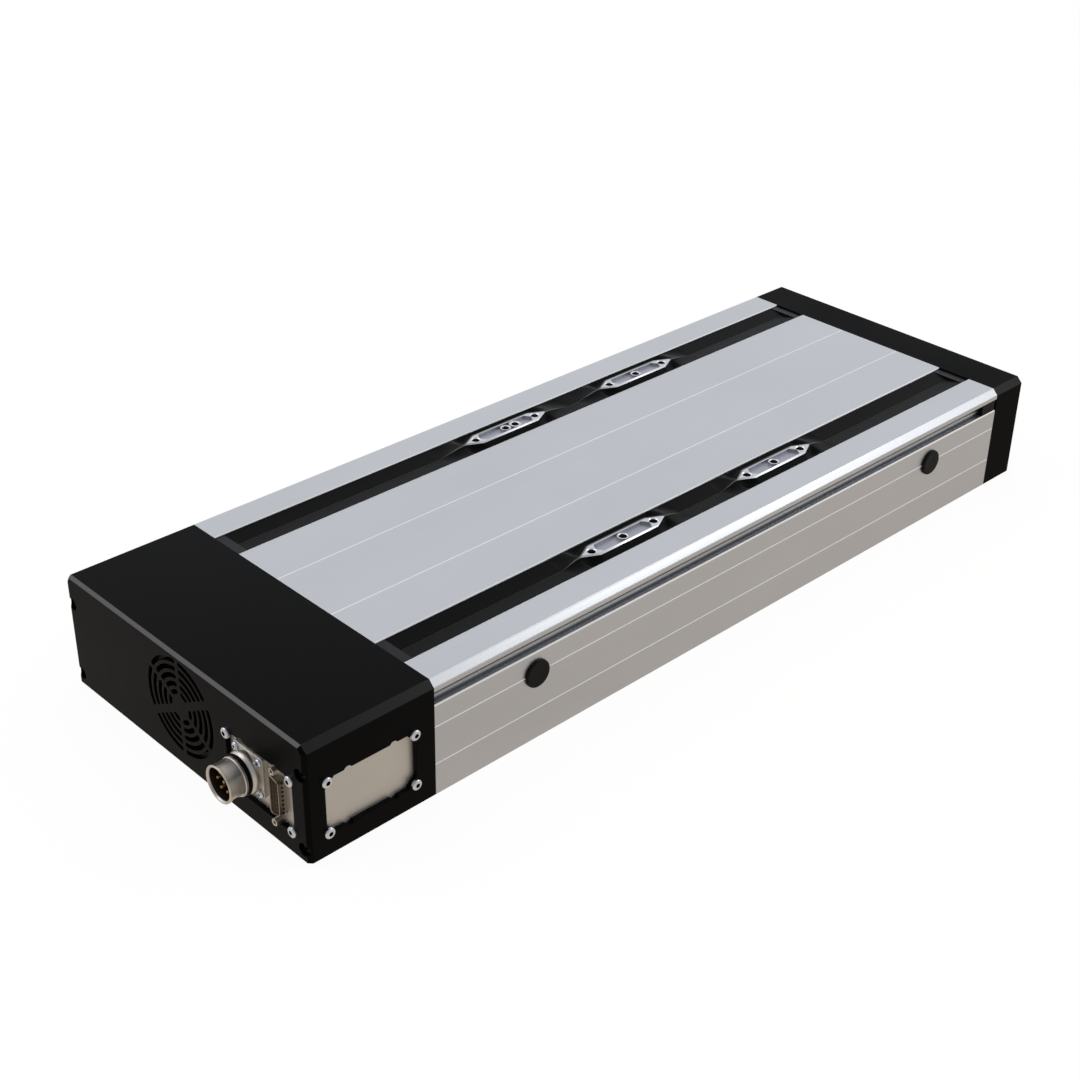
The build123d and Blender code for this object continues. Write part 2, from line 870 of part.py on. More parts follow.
def lens(x):
    """The opening that a shoe spreads in a pair of lips, seen from above."""
    length = shoe_length + 2 * lens_reach
    return Pos(x, slot_centre) * boat(length, shoe_width + 2 * lens_clearance, shoe_taper + lens_reach)


def seal_lip(side, outer):
    """One rubber lip: its root sits in a groove and its blade slopes down to the slot's middle."""
    edge = flange_edge if outer else cover_half_width
    inward = 1 if outer else -1
    root_top = unit_height - lip_root_top - lip_fit
    root_low = unit_height - lip_root_top - lip_root_height + lip_fit
    root_end = edge + inward * (lip_root_depth - lip_fit)
    foot = edge - inward * lip_fit
    tip = slot_centre + inward * lip_fit / 2
    blade_top = unit_height - lip_meeting_drop
    section = outline(
        (root_end, root_low),
        (foot, root_low),
        (tip, blade_top - lip_thickness),
        (tip, blade_top),
        (foot, unit_height - lip_edge_drop),
        (foot, root_top),
        (root_end, root_top),
    )
    reach = half_length - lip_end_clamp - lip_fit
    lip = along_x(section, -reach, reach)
    for x, y in shoe_places.values():
        if y * side > 0:
            lip -= extrude(Plane.XY.offset(root_low - 1) * lens(x), amount=unit_height - root_low)
    return lip if side > 0 else mirror(lip, about=Plane.XZ)


def lip_clamps():
    """Small blocks at the slots' ends that hold the lips down."""
    low = unit_height - flange_thickness
    clamps = []
    for side in (-1, 1):
        y_low, y_high = sorted((side * (cover_half_width + lip_fit), side * (flange_edge - lip_fit)))
        for x in (-half_length, half_length - lip_end_clamp):
            clamps.append(block(x, x + lip_end_clamp, y_low, y_high, low, unit_height - lip_edge_drop))
    return group(clamps)


def side_plugs():
    plugs = []
    for side, x in plug_places():
        face = side * half_width
        low, high = sorted((face, face + side * plug_head_height))
        plugs.append(crossways(plug_head_radius, x, upper_score_height, low, high))
    return group(plugs)


def groove_plugs():
    """Short fillers in the side grooves, just before the end cap."""
    x_high = half_length - groove_plug_setback
    low = side_groove_bottom + lip_fit
    high = side_groove_bottom + side_groove_height - lip_fit
    plugs = []
    for side in (-1, 1):
        y_low, y_high = sorted((side * (groove_back + side_groove_ridge), side * (half_width - score_depth)))
        plugs.append(block(x_high - groove_plug_length, x_high, y_low, y_high, low, high))
    return group(plugs)


def board_corners():
    low = cover_front + cover_wall + board_setback
    inset = 2 * standoff_radius
    return [
        (x, y)
        for x in (low + inset, low + board_length - inset)
        for y in (board_near + inset, board_far - inset)
    ]


def board_standoffs():
    top = cover_wall + standoff_height
    post = extrude(Plane.XY.offset(cover_wall) * RegularPolygon(standoff_radius, hexagon), amount=top - cover_wall)
    return group([Pos(x, y, 0) * post for x, y in board_corners()])


def controller_board():
    """The drive's circuit board with its power stage, plug strip and two capacitors."""
    low = cover_front + cover_wall + board_setback
    middle = (board_near + board_far) / 2
    z = cover_wall + standoff_height
    top = z + board_thickness
    board = block(low, low + board_length, board_near, board_far, z, top)
    stage_end = low + board_length - board_part_gap
    stage_x = stage_end - power_stage_length
    stage_y = board_near + board_part_gap
    stage_side = stage_y + power_stage_width
    board += block(stage_x, stage_end, stage_y, stage_side, top, top + power_stage_height)
    board += block(
        low + board_part_gap,
        low + board_part_gap + plug_strip_width,
        middle - plug_strip_length / 2,
        middle + plug_strip_length / 2,
        top,
        top + plug_strip_height,
    )
    can = extrude(Plane.XY.offset(top) * RegularPolygon(capacitor_radius, octagon), amount=capacitor_height)
    for n in range(2):
        x = stage_x + capacitor_radius + n * (power_stage_length - 2 * capacitor_radius)
        board += Pos(x, stage_side + 2 * capacitor_radius, 0) * can
    return board


nodes = {
    "base_profile": base_profile,
    "cover_profile": cover_profile,
    "guide_shafts": guide_shafts,
    "motor_plate": motor_plate,
    "bearing_housing": bearing_housing,
    "end_cap": end_cap,
    "motor_cover": motor_cover,
    "side_cover_plate": side_cover_plate,
    "connector_plate": connector_plate,
    "power_connector_shell": power_connector_shell,
    "power_connector_insert": power_connector_insert,
    "power_connector_pins": power_connector_pins,
    "data_connector_shell": data_connector_shell,
    "data_connector_insert": data_connector_insert,
    "data_contacts": data_contacts,
    "jack_posts": jack_posts,
    "fan_frame": fan_frame,
    "fan_rotor": fan_rotor,
    "motor_stator": motor_stator,
    "motor_rotor": motor_rotor,
    "spindle_bearings": spindle_bearings,
    "shaft_coupling": shaft_coupling,
    "lock_nut": lock_nut,
    "spindle": spindle,
    "ball_nut": ball_nut,
    "nut_housing": nut_housing,
    "slide_end_caps": slide_end_caps,
    "carriage_plate": carriage_plate,
    "switch_cam": switch_cam,
    "reference_sensors": reference_sensors,
    "lip_clamps": lip_clamps,
    "side_plugs": side_plugs,
    "groove_plugs": groove_plugs,
    "board_standoffs": board_standoffs,
    "controller_board": controller_board,
}

for node_name, make in nodes.items():
    export_step(make(), f"parts/{node_name}.step")

for shoe_name, (shoe_x, shoe_y) in shoe_places.items():
    export_step(shaft_slide(shoe_x, shoe_y), f"parts/shaft_slide_{shoe_name}.step")
    export_step(carriage_shoe(shoe_x, shoe_y), f"parts/carriage_shoe_{shoe_name}.step")

for side_name, side_sign in (("near", -1), ("far", 1)):
    for lip_name, is_outer in (("inner", False), ("outer", True)):
        export_step(seal_lip(side_sign, is_outer), f"parts/seal_lip_{side_name}_{lip_name}.step")
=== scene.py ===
import json
import math

import bmesh
import bpy
from mathutils import Matrix, Vector


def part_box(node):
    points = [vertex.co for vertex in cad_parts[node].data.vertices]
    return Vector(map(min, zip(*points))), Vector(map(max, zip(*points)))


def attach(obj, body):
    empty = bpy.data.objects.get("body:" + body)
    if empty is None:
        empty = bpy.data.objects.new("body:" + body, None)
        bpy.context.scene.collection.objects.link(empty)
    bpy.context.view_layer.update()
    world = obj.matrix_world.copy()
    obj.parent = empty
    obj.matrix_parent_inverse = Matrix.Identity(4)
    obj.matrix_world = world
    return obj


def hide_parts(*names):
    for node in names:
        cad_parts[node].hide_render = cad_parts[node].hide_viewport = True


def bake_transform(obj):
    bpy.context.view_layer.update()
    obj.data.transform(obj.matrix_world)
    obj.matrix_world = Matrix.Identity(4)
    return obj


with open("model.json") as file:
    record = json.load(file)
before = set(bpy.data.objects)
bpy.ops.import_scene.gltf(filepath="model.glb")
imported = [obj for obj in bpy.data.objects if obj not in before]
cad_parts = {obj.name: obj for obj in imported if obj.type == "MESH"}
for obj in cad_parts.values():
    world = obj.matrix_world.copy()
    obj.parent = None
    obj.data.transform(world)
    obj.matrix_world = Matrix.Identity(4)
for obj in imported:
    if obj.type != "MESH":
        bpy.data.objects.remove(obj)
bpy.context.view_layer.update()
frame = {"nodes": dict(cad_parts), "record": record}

# Forms are modelled in millimetres, and the frame is in metres.
MM = 0.001
ALONG = Vector((1, 0, 0))
OUTWARD = (-1, 0, 0)
# Two places count as one within these distances.
HAIR = 0.01
SLACK = 0.05

# Camera, fitted to the object's edges in the photograph
LENS = 59.469
SENSOR = 36.0
CAMERA_PLACE = Vector((-754.453, -699.992, 620.737))
CAMERA_RIGHT = Vector((0.7235828, -0.6900796, 0.0147660))
CAMERA_DOWN = Vector((-0.3448599, -0.3799685, -0.8583098))


class Value:
    """One output of a shader tree, which takes part in plain Python sums."""

    def __init__(self, shader, socket):
        self.shader = shader
        self.socket = socket

    def __add__(self, other):
        return self.shader.sum("ADD", self, other)

    def __sub__(self, other):
        return self.shader.sum("SUBTRACT", self, other)

    def __rsub__(self, other):
        return self.shader.sum("SUBTRACT", other, self)

    def __mul__(self, other):
        return self.shader.sum("MULTIPLY", self, other)

    __radd__ = __add__
    __rmul__ = __mul__


class Shader:
    """The nodes of one finish, of the floor or of the room."""

    def __init__(self, tree):
        self.tree = tree

    def node(self, kind, settings=None, sockets=None, output=0):
        """Adds a node: its settings first, then the values or links of its sockets."""
        made = self.tree.nodes.new(kind)
        for name, value in (settings or {}).items():
            setattr(made, name, value)
        for name, value in (sockets or {}).items():
            self.feed(made.inputs[name], value)
        return Value(self, made.outputs[output]) if made.outputs else None

    def feed(self, socket, value):
        """Gives a socket a value, or links it to another node's output."""
        if isinstance(value, Value):
            self.tree.links.new(value.socket, socket)
        else:
            socket.default_value = value

    def sum(self, operation, first, second):
        """One Math node."""
        return self.node("ShaderNodeMath", {"operation": operation}, {0: first, 1: second})

    def mix(self, share, first, second):
        """A colour between two others."""
        return self.node("ShaderNodeMix", {"data_type": "RGBA"}, {0: share, 6: first, 7: second}, 2)

    def span(self, value, low, high, start, end):
        """Turns low to high of a value into start to end, and holds it there beyond them."""
        limits = {"From Min": low, "From Max": high, "To Min": start, "To Max": end}
        return self.node("ShaderNodeMapRange", None, {"Value": value, **limits})

    def noise(self, place, scale, detail=3.0, roughness=0.5):
        """A cloudy pattern over a place."""
        sockets = {"Vector": place, "Scale": scale, "Detail": detail, "Roughness": roughness}
        return self.node("ShaderNodeTexNoise", None, sockets)

    def stretched(self, scales):
        """Object coordinates, drawn out by a scale along each axis."""
        place = self.node("ShaderNodeTexCoord", None, None, "Object")
        return self.node("ShaderNodeMapping", None, {"Vector": place, "Scale": scales})


class Finish(Shader):
    """A surface finish: a principled shader and what varies it."""

    def __init__(self, name, metal, shine=0.5):
        self.material = bpy.data.materials.new(name)
        self.material.use_nodes = True
        super().__init__(self.material.node_tree)
        self.surface = self.tree.nodes["Principled BSDF"]
        self.surface.inputs["Metallic"].default_value = metal
        self.surface.inputs["Specular IOR Level"].default_value = shine

    def coat(self, socket, value):
        """Sets one property of the surface."""
        self.feed(self.surface.inputs[socket], value)

    def relief(self, height, strength, distance, edge=0.0):
        """Bumps from a height, with edges that catch the light as if rounded to a radius."""
        sockets = {"Height": height, "Strength": strength, "Distance": distance}
        if edge:
            sockets["Normal"] = self.node("ShaderNodeBevel", {"samples": 6}, {"Radius": edge})
        self.coat("Normal", self.node("ShaderNodeBump", None, sockets))


def tone(level, tint=(1.0, 1.0, 1.0)):
    """A colour from its level and a tint."""
    return tuple(level * part for part in tint) + (1.0,)


def drawn_metal(name, light, dark, rough, along, edge=0.0):
    """Metal with fine lines along the unit, as extruded, ground or milled stock has."""
    finish = Finish(name, 1.0)
    lines = finish.noise(finish.stretched((3.0, 900.0, 900.0)), 1.0, 4.0, 0.6)
    cloud = finish.noise(finish.stretched((9.0, 14.0, 14.0)), 1.0, 3.0, 0.5)
    blend = finish.span(lines * along + cloud * (1.0 - along), 0.3, 0.7, 0.0, 1.0)
    finish.coat("Base Color", finish.mix(blend, dark, light))
    finish.coat("Roughness", finish.span(lines, 0.3, 0.7, rough - 0.05, rough + 0.05))
    finish.relief(lines, 0.12, 0.00004, edge)
    return finish.material


def painted_rim_highlight(finish):
    """A painted highlight on the motor cover's upper chamfers, made as an extra gloss coat: full on the
    front one, less on the side ones.
    """
    low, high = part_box("motor_cover")
    front = high.z - low.x - COVER_RIM * MM
    side = max(point.co.z + abs(point.co.y) for point in frame["nodes"]["motor_cover"].data.vertices)
    spot = finish.node("ShaderNodeTexCoord", None, None, "Object")
    x, y, z = (finish.node("ShaderNodeSeparateXYZ", None, {0: spot}, axis) for axis in "XYZ")
    across = finish.node("ShaderNodeMath", {"operation": "ABSOLUTE"}, {0: y})
    on_front = finish.span(z - x, front - RIM_BLUR, front - RIM_BLUR / 4, 0.0, 1.0)
    on_side = finish.span(z + across, side - RIM_BLUR, side - RIM_BLUR / 4, 0.0, SIDE_RIM)
    return finish.sum("MAXIMUM", on_front, on_side)


def coating(name, level, rough, grain, shine, edge=0.0, rim_highlight=False):
    """A satin black coating with a fine grain; its chamfers can get an extra gloss coat that paints
    their highlight.
    """
    finish = Finish(name, 0.0, shine)
    # An extra gloss coat on the upper chamfers: a painted highlight.
    if rim_highlight:
        finish.coat("Coat Weight", painted_rim_highlight(finish))
        finish.coat("Coat Roughness", RIM_ROUGHNESS)
        finish.coat("Coat IOR", RIM_INDEX)
    place = finish.stretched((1.0, 1.0, 1.0))
    specks = finish.noise(place, grain, 2.0, 0.5)
    cloud = finish.noise(place, 18.0, 3.0, 0.5)
    finish.coat("Base Color", finish.mix(cloud, tone(level * 0.8), tone(level * 1.2, (1.0, 1.0, 1.1))))
    finish.coat("Roughness", finish.span(specks + cloud, 0.7, 1.3, rough - 0.06, rough + 0.06))
    finish.relief(specks, 0.1, 0.00005, edge)
    return finish.material


def moulded(name, light, dark, rough, grain, shine=0.4):
    """Moulded plastic or rubber with a fine grain."""
    finish = Finish(name, 0.0, shine)
    specks = finish.noise(finish.stretched((1.0, 1.0, 1.0)), grain, 3.0, 0.6)
    finish.coat("Base Color", finish.mix(specks, dark, light))
    finish.coat("Roughness", finish.span(specks, 0.3, 0.7, rough - 0.07, rough + 0.07))
    finish.relief(specks, 0.2, 0.00004)
    return finish.material


def plated(name, light, dark, rough):
    """Plated metal with a faint haze."""
    finish = Finish(name, 1.0)
    haze = finish.noise(finish.stretched((60.0, 60.0, 60.0)), 1.0, 4.0, 0.6)
    finish.coat("Base Color", finish.mix(haze, dark, light))
    finish.coat("Roughness", finish.span(haze, 0.3, 0.7, rough - 0.04, rough + 0.06))
    finish.relief(haze, 0.05, 0.00002)
    return finish.material


# Chamfers of the motor cover: width of the front one, and the gloss of both kinds, which paints their
# highlight
COVER_RIM = 1.6
RIM_BLUR = 0.3 * MM
SIDE_RIM = 0.2
RIM_ROUGHNESS = 0.3
RIM_INDEX = 1.8
COVER_EDGE = 0.6 * MM

# Tints
PALE = (0.985, 1.0, 1.03)
COOL = (0.95, 0.97, 1.05)
BLUISH = (0.93, 0.98, 1.06)
WARM = (1.0, 0.95, 0.88)
COPPERY = (1.0, 0.88, 0.74)
BROWN = (1.0, 0.62, 0.28)
WHITE = tone(1.0)

# Finishes by the record's material slots
FINISHES = {
    "profile": drawn_metal("anodised profile", tone(0.645, PALE), tone(0.58, PALE), 0.4, 0.6),
    "black_cover": coating("black cover", 0.0015, 0.34, 2600.0, 0.035, COVER_EDGE, True),
    "bare_plate": drawn_metal("bare plate", tone(0.75, WARM), tone(0.65, WARM), 0.5, 0.2),
    "steel": drawn_metal("ground steel", tone(0.75), tone(0.65), 0.25, 0.7),
    "carrier": drawn_metal("milled carrier", tone(0.7), tone(0.6), 0.4, 0.5),
    "slide_body": drawn_metal("slide steel", tone(0.6), tone(0.5), 0.3, 0.6),
    "shoe": drawn_metal("milled shoe", tone(0.66, PALE), tone(0.58, PALE), 0.32, 0.8),
    "black_plastic": moulded("black plastic", tone(0.005), tone(0.003), 0.5, 1400.0, 0.12),
    "motor_paint": moulded("motor paint", tone(0.04), tone(0.03), 0.4, 900.0),
    "nickel": plated("nickel plate", tone(0.76, (1.0, 0.94, 0.86)), tone(0.58, (1.0, 0.92, 0.8)), 0.33),
    "insert": moulded("insert plastic", tone(0.02, BROWN), tone(0.01, BROWN), 0.5, 900.0, 0.2),
    "contact": plated("gold plate", (0.50, 0.30, 0.11, 1.0), (0.36, 0.21, 0.08, 1.0), 0.3),
    "lip_rubber": moulded("lip rubber", tone(0.002), tone(0.001), 0.42, 1800.0, 0.05),
    "clamp_metal": coating("blackened clamp", 0.004, 0.4, 1800.0, 0.2),
    "board": moulded("circuit board", (0.02, 0.14, 0.06, 1.0), (0.01, 0.09, 0.04, 1.0), 0.35, 500.0),
}

# Finishes of the scene's own pieces and surfaces
END_BLACK = coating("black end cap", 0.002, 0.36, 2600.0, 0.014, COVER_EDGE, True)
ZINC = plated("zinc plate", tone(0.85, BLUISH), tone(0.7, BLUISH), 0.2)
# A lighter grey for the lips' free edges: a painted highlight.
LIP_EDGE_HIGHLIGHT = moulded("painted lip edge highlight", tone(0.2), tone(0.12), 0.45, 1800.0)
# A black finish for the shoes' lower sides.
SHOE_SIDE_BLACK = coating("black shoe side", 0.002, 0.5, 2600.0, 0.06)
# Darker aluminium for the inside of the side groove: painted shade.
GROOVE_SHADE = drawn_metal("painted groove shade", tone(0.4, PALE), tone(0.34, PALE), 0.5, 0.6)
# A pale finish on the score lines: a painted highlight.
SCORE_HIGHLIGHT = moulded("painted score highlight", tone(0.95), tone(0.85), 0.6, 900.0)
# A near-white finish on bevelled edges and countersinks: a painted highlight.
EDGE_HIGHLIGHT = drawn_metal("painted edge highlight", tone(0.95), tone(0.9), 0.3, 0.6)
TRAY = drawn_metal("milled tray", tone(0.55, COOL), tone(0.42, COOL), 0.5, 0.8)
TINNED = plated("tinned shell", tone(0.42, COPPERY), tone(0.3, COPPERY), 0.3)
# A dark gold for the data contacts: painted shade inside the shell.
CONTACT_SHADE = plated("gold contact in painted shade", (0.2, 0.12, 0.05, 1.0), (0.14, 0.08, 0.035, 1.0), 0.35)
SOCKET_DARK = plated("socket shade", tone(0.06), tone(0.03), 0.4)
# A dark brown finish on the barrel's bore wall: painted shade.
BORE_SHADE = moulded("bore", tone(0.012, BROWN), tone(0.006, BROWN), 0.35, 900.0, 0.3)


def finish_cad_nodes():
    """Gives each CAD node the finish that its record names; the end cap has a duller black."""
    for part in frame["record"]["subparts"]:
        finish = END_BLACK if part["node"] == "end_cap" else FINISHES[part["material_slot"]]
        for holder in frame["nodes"][part["node"]].material_slots:
            holder.material = finish


def box(node):
    """A node's lowest and highest corner, in millimetres."""
    low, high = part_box(node)
    return low / MM, high / MM


def middle(node):
    """A node's middle, in millimetres."""
    low, high = box(node)
    return (low + high) / 2


def turned(profile, steps, closed=False):
    """A form spun round the X axis, from points of (place along X, radius)."""
    form = bmesh.new()
    points = [form.verts.new((along, 0, radius)) for along, radius in profile]
    edges = [form.edges.new(pair) for pair in zip(points, points[1:])]
    if closed:
        edges.append(form.edges.new((points[-1], points[0])))
    bmesh.ops.spin(form, geom=points + edges, axis=ALONG, angle=math.tau, steps=steps, use_merge=True)
    bmesh.ops.remove_doubles(form, verts=form.verts, dist=0.001)
    bmesh.ops.recalc_face_normals(form, faces=form.faces)
    return form


def prism(corners, direction):
    """A solid from a flat outline, drawn out along a direction."""
    form = bmesh.new()
    face = form.faces.new([form.verts.new(corner) for corner in corners])
    moved = bmesh.ops.extrude_face_region(form, geom=[face], use_keep_orig=True)["geom"]
    ends = [part for part in moved if isinstance(part, bmesh.types.BMVert)]
    bmesh.ops.translate(form, vec=direction, verts=ends)
    bmesh.ops.recalc_face_normals(form, faces=form.faces)
    return form


def swept(sections, closed=False):
    """A skin over sections of equally many points, capped or closed to a ring; a layer numbers them."""
    form = bmesh.new()
    corner = form.verts.layers.int.new("corner")
    count = len(sections[0])
    made = bmesh.ops.create_circle(form, segments=count, radius=1.0, cap_ends=False)["verts"]
    for number, point in enumerate(made):
        point[corner] = number
        point.co = sections[0][number]
    first = list(form.edges)
    edges = first
    for section in sections[1:]:
        geometry = bmesh.ops.extrude_edge_only(form, edges=edges)["geom"]
        edges = [part for part in geometry if isinstance(part, bmesh.types.BMEdge)]
        for point in geometry:
            if isinstance(point, bmesh.types.BMVert):
                point.co = section[point[corner]]
        edges = [edge for edge in edges if len(edge.link_faces) == 1]
    if closed:
        bmesh.ops.bridge_loops(form, edges=first + edges)
    else:
        bmesh.ops.contextual_create(form, geom=first)
        bmesh.ops.contextual_create(form, geom=edges)
    bmesh.ops.recalc_face_normals(form, faces=form.faces)
    return form


def place(form, spot, direction=ALONG):
    """Turns a form so that its X axis points in a direction, and moves it to a spot."""
    turn = ALONG.rotation_difference(Vector(direction)).to_matrix()
    bmesh.ops.rotate(form, matrix=turn, verts=form.verts)
    bmesh.ops.translate(form, vec=spot, verts=form.verts)
    return form


def gathered(forms):
    """Several forms in one mesh."""
    whole = bmesh.new()
    for form in forms:
        mesh = bpy.data.meshes.new("part")
        form.to_mesh(mesh)
        form.free()
        whole.from_mesh(mesh)
        bpy.data.meshes.remove(mesh)
    return whole


def bevelled(form, edges, width, segments=1, finish=-1):
    """Bevels edges; the new faces take a finish by its number, or that of the faces beside them."""
    bmesh.ops.bevel(
        form, geom=edges, offset=width, offset_type="OFFSET", segments=segments,
        profile=0.5, affect="EDGES", material=finish, clamp_overlap=True,
    )
    return form


def sharp_edges(form, angle):
    """The edges of a form that turn by more than an angle, in degrees."""
    least = math.radians(angle)
    return [edge for edge in form.edges if edge.is_manifold and edge.calc_face_angle() > least]


def shown(name, form):
    """Makes a form in millimetres an object in the frame's metres."""
    bmesh.ops.scale(form, vec=Vector((MM, MM, MM)), verts=form.verts)
    mesh = bpy.data.meshes.new(name)
    form.to_mesh(mesh)
    form.free()
    thing = bpy.data.objects.new(name, mesh)
    bpy.context.scene.collection.objects.link(thing)
    return thing


def carved(form, tool, operation="DIFFERENCE"):
    """Cuts a closed form with another, or joins the two."""
    body = shown("body", form)
    cutter = shown("cutter", tool)
    change = body.modifiers.new("cut", "BOOLEAN")
    change.operation = operation
    change.object = cutter
    change.solver = "EXACT"
    result = bpy.data.meshes.new_from_object(body.evaluated_get(bpy.context.evaluated_depsgraph_get()))
    whole = bmesh.new()
    whole.from_mesh(result)
    bmesh.ops.scale(whole, vec=Vector((1, 1, 1)) / MM, verts=whole.verts)
    for thing in (body, cutter):
        bpy.data.meshes.remove(thing.data)
    bpy.data.meshes.remove(result)
    return whole


def piece(name, form, slot, body="frame", stands_for=(), finish=None, extra=(), smooth=35):
    """A finished piece of the object, which rides on a body."""
    thing = shown(name, form)
    thing.data.materials.append(finish or FINISHES[slot])
    for material in extra:
        thing.data.materials.append(material)
    thing.data.shade_smooth()
    thing.data.set_sharp_from_angle(angle=math.radians(smooth))
    if stands_for:
        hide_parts(*stands_for)
    if body:
        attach(thing, body)
    return thing


def soften(thing, width, angle):
    """Rounds a piece's sharp edges."""
    change = thing.modifiers.new("rounded edges", "BEVEL")
    change.width = width * MM
    change.segments = 2
    change.limit_method = "ANGLE"
    change.angle_limit = math.radians(angle)
    change.harden_normals = True


# Extrusions: their long edges, the groove in each side, the ridge in it and the score lines
EXTRUSION_EDGE = 0.4
SLOT_EDGE = 0.7
LONG_EDGE = 400.0
SQUARE_EDGE = 60
GROOVE_LOW = 59.2
GROOVE_HIGH = 68.1
GROOVE_SKIN = 0.1
GROOVE_DEPTH = 6.0
GROOVE_MARGIN = 1.0
RIM_DEPTH = 0.5
RIDGE_DEPTHS = (3.9, 5.1)
RIDGE_LOW = 61.5
RIDGE_HIGH = 63.4
RIDGE_RIMS = {63.5: RIDGE_LOW, 64.5: RIDGE_HIGH}
RIDGE_MARGIN = 0.1
SCORE_TILT = (0.3, 0.4)
LOWEST_EDGES = {"base_profile": 55.0, "cover_profile": 74.0}
GROOVE_SHADE_FINISH = 1
SCORE_HIGHLIGHT_FINISH = 2
EDGE_HIGHLIGHT_FINISH = 3


def copied(node, joined=True):
    """A CAD node's own mesh, with its triangles joined into flat faces if wanted."""
    mesh = frame["nodes"][node].data.copy()
    stored = mesh.attributes.get("custom_normal")
    if stored:
        mesh.attributes.remove(stored)
    form = bmesh.new()
    form.from_mesh(mesh)
    bpy.data.meshes.remove(mesh)
    bmesh.ops.scale(form, vec=Vector((1, 1, 1)) / MM, verts=form.verts)
    bmesh.ops.remove_doubles(form, verts=form.verts, dist=0.001)
    if joined:
        bmesh.ops.dissolve_limit(form, angle_limit=math.radians(1), verts=form.verts, edges=form.edges)
    bmesh.ops.recalc_face_normals(form, faces=form.faces)
    return form


def cover_skin():
    """The motor cover with a narrower chamfer along its upper front edge."""
    form = copied("motor_cover", False)
    low, high = box("motor_cover")
    front = max(point.co.z - point.co.x for point in form.verts)
    for point in form.verts:
        if point.co.z - point.co.x > front - SLACK:
            if point.co.z < high.z - SLACK:
                point.co.z = high.z - COVER_RIM
            else:
                point.co.x = low.x + COVER_RIM
    piece("motor_cover_skin", form, "black_cover", "frame", ["motor_cover"], smooth=20)


def extrusion(node):
    """An extruded part: rounded long edges, slot edges and groove rims with a painted highlight, painted
    shade in the side groove, score lines with a painted highlight.
    """
    form = copied(node)
    side = max(point.co.y for point in form.verts)
    for point in form.verts:
        if RIDGE_DEPTHS[0] < side - abs(point.co.y) < RIDGE_DEPTHS[1]:
            point.co.z = RIDGE_RIMS.get(round(point.co.z, 2), point.co.z)
    for face in form.faces:
        spot = face.calc_center_median()
        depth = side - abs(spot.y)
        ridge = RIDGE_LOW - RIDGE_MARGIN < spot.z < RIDGE_HIGH + RIDGE_MARGIN
        # The score lines take a pale finish: a painted highlight.
        if SCORE_TILT[0] < min(abs(face.normal.y), abs(face.normal.z)) < SCORE_TILT[1]:
            face.material_index = SCORE_HIGHLIGHT_FINISH
        # The inside of the side groove takes the darker finish: painted shade.
        elif GROOVE_LOW < spot.z < GROOVE_HIGH and GROOVE_SKIN < depth < GROOVE_DEPTH and not ridge:
            face.material_index = GROOVE_SHADE_FINISH
    # Edges in bare get a bevel with a near-white finish: a painted highlight.
    outer = []
    bare = []
    for edge in sharp_edges(form, 25):
        lowest = min(point.co.z for point in edge.verts)
        if edge.calc_length() <= LONG_EDGE or lowest <= LOWEST_EDGES[node] or not edge.is_convex:
            continue
        spot = edge.verts[0].co
        depth = side - abs(spot.y)
        square = edge.calc_face_angle() > math.radians(SQUARE_EDGE)
        upper = spot.z > GROOVE_HIGH + GROOVE_MARGIN
        rim = GROOVE_LOW - GROOVE_MARGIN < spot.z < RIDGE_LOW and depth < RIM_DEPTH
        if (square and upper) or rim:
            bare.append(edge)
        elif depth < RIDGE_DEPTHS[0]:
            outer.append(edge)
    bevelled(form, outer, EXTRUSION_EDGE, 2)
    bevelled(form, [edge for edge in bare if edge.is_valid], SLOT_EDGE, 2, EDGE_HIGHLIGHT_FINISH)
    piece(f"{node}_skin", form, "profile", "frame", [node], extra=[GROOVE_SHADE, SCORE_HIGHLIGHT, EDGE_HIGHLIGHT], smooth=12)


# Shoes that stand out of the slots
SHOE_TAPER = 12.0
SHOE_HALF = 6.0
SHOE_BEVEL = 0.8
SHOE_RIM = 1.5
SHOE_TRAY_DEPTH = 2.0
SHOE_TRAY_LENGTH = 47.0
SHOE_TRAY_TAPER = 3.0
SHOE_HOLE_SPACING = 26.6
SHOE_HOLE = 2.5
SHOE_SINK = 3.1
SHOE_SINK_DEPTH = 0.5
SHOE_HOLE_DEPTH = 14.0
SHOE_BOSS = 3.7
SHOE_BOSS_ROOT = 1.0
SHOE_BOSS_DROP = 0.2
SHOE_SOFTNESS = 0.15
EXTRA_HOLE = {"far_1": (8.6, 4.3)}
THREAD_TURNS = 6
THREAD_PITCH = 1.0
THREAD_DEPTH = 0.2
SIDE_FINISH = 1
TRAY_FINISH = 2
HOLE_FINISH = 3
SINK_FINISH = 4


def boat(length, width, taper, low, high):
    """A slim six-sided bar that points both ways along the unit."""
    end = length / 2
    side = width / 2
    left = taper - end
    right = end - taper
    outline = [(-end, 0), (left, -side), (right, -side), (end, 0), (right, side), (left, side)]
    return prism([(x, y, low) for x, y in outline], (0, 0, high - low))


def upright(profile, x, z):
    """A form turned about a vertical axis."""
    return place(turned(profile, 32), (x, 0, z), (0, 0, 1))


def hole_tool():
    """The shape of a threaded, countersunk hole, from its bottom up."""
    top = SHOE_HOLE_DEPTH - SHOE_SINK_DEPTH
    start = top - THREAD_TURNS * THREAD_PITCH
    wall = [(0, 0), (0, SHOE_HOLE), (start, SHOE_HOLE)]
    for turn in range(THREAD_TURNS):
        wall.append((start + (turn + 0.5) * THREAD_PITCH, SHOE_HOLE + THREAD_DEPTH))
        wall.append((start + (turn + 1) * THREAD_PITCH, SHOE_HOLE))
    above = SHOE_HOLE_DEPTH + 1
    return wall + [(SHOE_HOLE_DEPTH, SHOE_SINK), (above, SHOE_SINK), (above, 0)]


